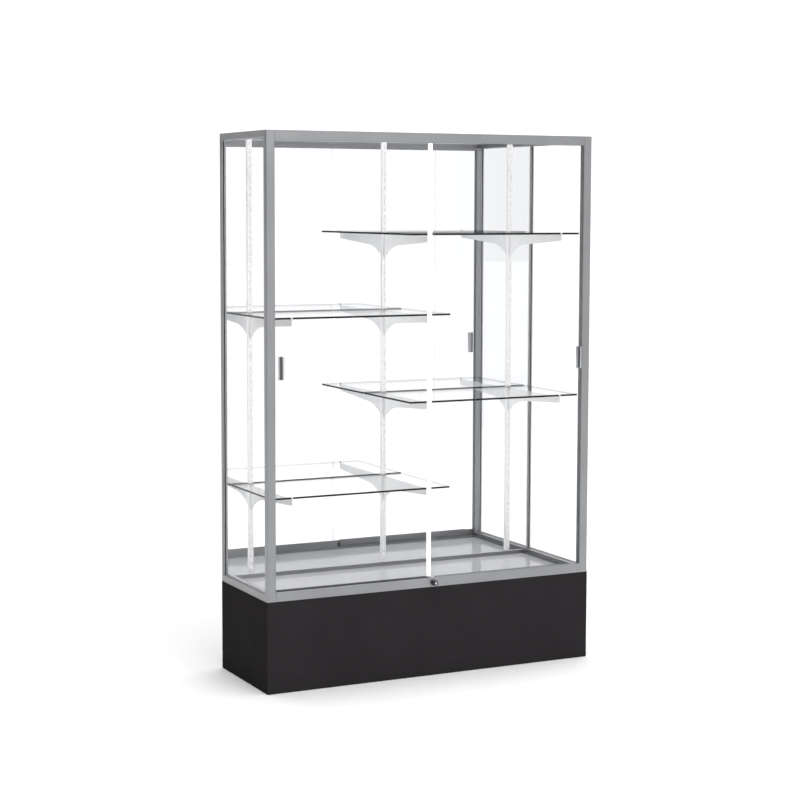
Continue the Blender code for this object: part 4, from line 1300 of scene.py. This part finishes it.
@dataclass
class Shelving:
    """Slotted standards, lipped brackets and four loose glass shelves."""

    standards: tuple[str, ...] = ("left", "centre", "right")
    shelves: tuple[str, ...] = ("lower_left", "lower_right", "upper_left", "upper_right")
    screw_bridges: tuple[int, ...] = (2, 17, 29, 41, 54)
    first_bridge: float = 34.95 * MM
    slot_pitch: float = 24.5 * MM
    screw_radius: float = 2.7 * MM
    screw_height: float = 1.1 * MM
    cap_size: Place = (4.6 * MM, 4.2 * MM, 6.0 * MM)
    cap_inset: float = 1.05 * MM
    cap_rise: float = 0.6 * MM

    def brackets(self) -> list[str]:
        """The names of the eight bracket nodes."""
        return [
            f"bracket_{shelf}_{word}"
            for shelf in self.shelves
            for word in ("centre", shelf.split("_")[1])
        ]

    def build(self) -> None:
        """Dresses the nodes and adds the screws and the bracket caps."""
        for word in self.standards:
            dress(f"standard_{word}", WHITE_ENAMEL)
        for name in self.brackets():
            dress(name, SHADED_BRACKET_ENAMEL)
        for name in self.shelves:
            dress(f"shelf_{name}", SHELF_GLASS)
        self.drive_screws()
        self.cap_brackets()

    def drive_screws(self) -> None:
        """Pan heads on the bridges between slots, clear of the shelves' ways up."""
        places = []
        for word in self.standards:
            low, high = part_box(f"standard_{word}")
            for bridge in self.screw_bridges:
                height = low.z + self.first_bridge + bridge * self.slot_pitch
                places.append(((low.x + high.x) / 2, low.y - self.screw_height / 2, height))
        PanHeads().lay(
            "standard_screws", points_at(places), WHITE_ENAMEL, "root", "white_enamel",
            turn=FACES_FRONT, Radius=self.screw_radius, Height=self.screw_height,
        )

    def cap_brackets(self) -> None:
        """A white vinyl cap over each bracket's front lip, which cushions the glass."""
        places = []
        for name in self.brackets():
            low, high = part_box(name)
            places.append((
                (low.x + high.x) / 2,
                low.y + self.cap_inset,
                high.z - self.cap_size[2] / 2 + self.cap_rise,
            ))
        Cushions().lay(
            "bracket_caps", points_at(places), WHITE_VINYL, "root", "white_enamel",
            Size=self.cap_size,
        )


@dataclass
class Back:
    """The mirror, its hardboard backing and the clips that hold them in the frame."""

    clip_size: Place = (14.0 * MM, 18.0 * MM, 1.4 * MM)
    screw_radius: float = 3.2 * MM
    screw_height: float = 1.4 * MM
    clips_along: int = 4
    end_margin: float = 140.0 * MM
    overlap: float = 6.0 * MM
    screw_inset: float = 7.0 * MM

    def build(self) -> None:
        """Dresses the mirror and its backing, and fits the clips."""
        dress("mirror_back", MIRROR)
        dress("back_panel", HARDBOARD)
        self.fit_clips()

    def fit_clips(self) -> None:
        """Turn clips with their screws, along the rear rails."""
        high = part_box("rail_bottom_rear")[1]
        reach = high.x - self.end_margin
        step = 2 * reach / (self.clips_along - 1)
        face = high.y + self.clip_size[2] / 2
        screw_y = face + (self.clip_size[2] + self.screw_height) / 2
        clips, screws = [], []
        for index in range(self.clips_along):
            x = -reach + index * step
            for edge, way in ((high.z, 1), (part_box("rail_top_rear")[0].z, -1)):
                clips.append((x, face, edge + way * (self.overlap - self.clip_size[1] / 2)))
                screws.append((x, screw_y, edge - way * self.screw_inset))
        Cushions().lay(
            "back_clips", points_at(clips), BRIGHT_STEEL, "root", "steel_pin",
            turn=FACES_BACK, Size=self.clip_size,
        )
        PanHeads().lay(
            "back_screws", points_at(screws), BRIGHT_STEEL, "root", "steel_pin",
            turn=FACES_BACK, Radius=self.screw_radius, Height=self.screw_height,
        )


# --------------------------------------------------------------------- main


def main() -> None:
    """Builds the looks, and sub-assembly by sub-assembly."""
    logging.basicConfig(level=logging.INFO, format="%(name)s: %(message)s")
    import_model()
    parts = (
        Studio(), Plinth(), Frame(), SlidingDoor(Side.LEFT), SlidingDoor(Side.RIGHT),
        Tracks(), PlungerLock(), Shelving(), Back(),
    )
    for part in parts:
        part.build()


if __name__ == "__main__":
    main()
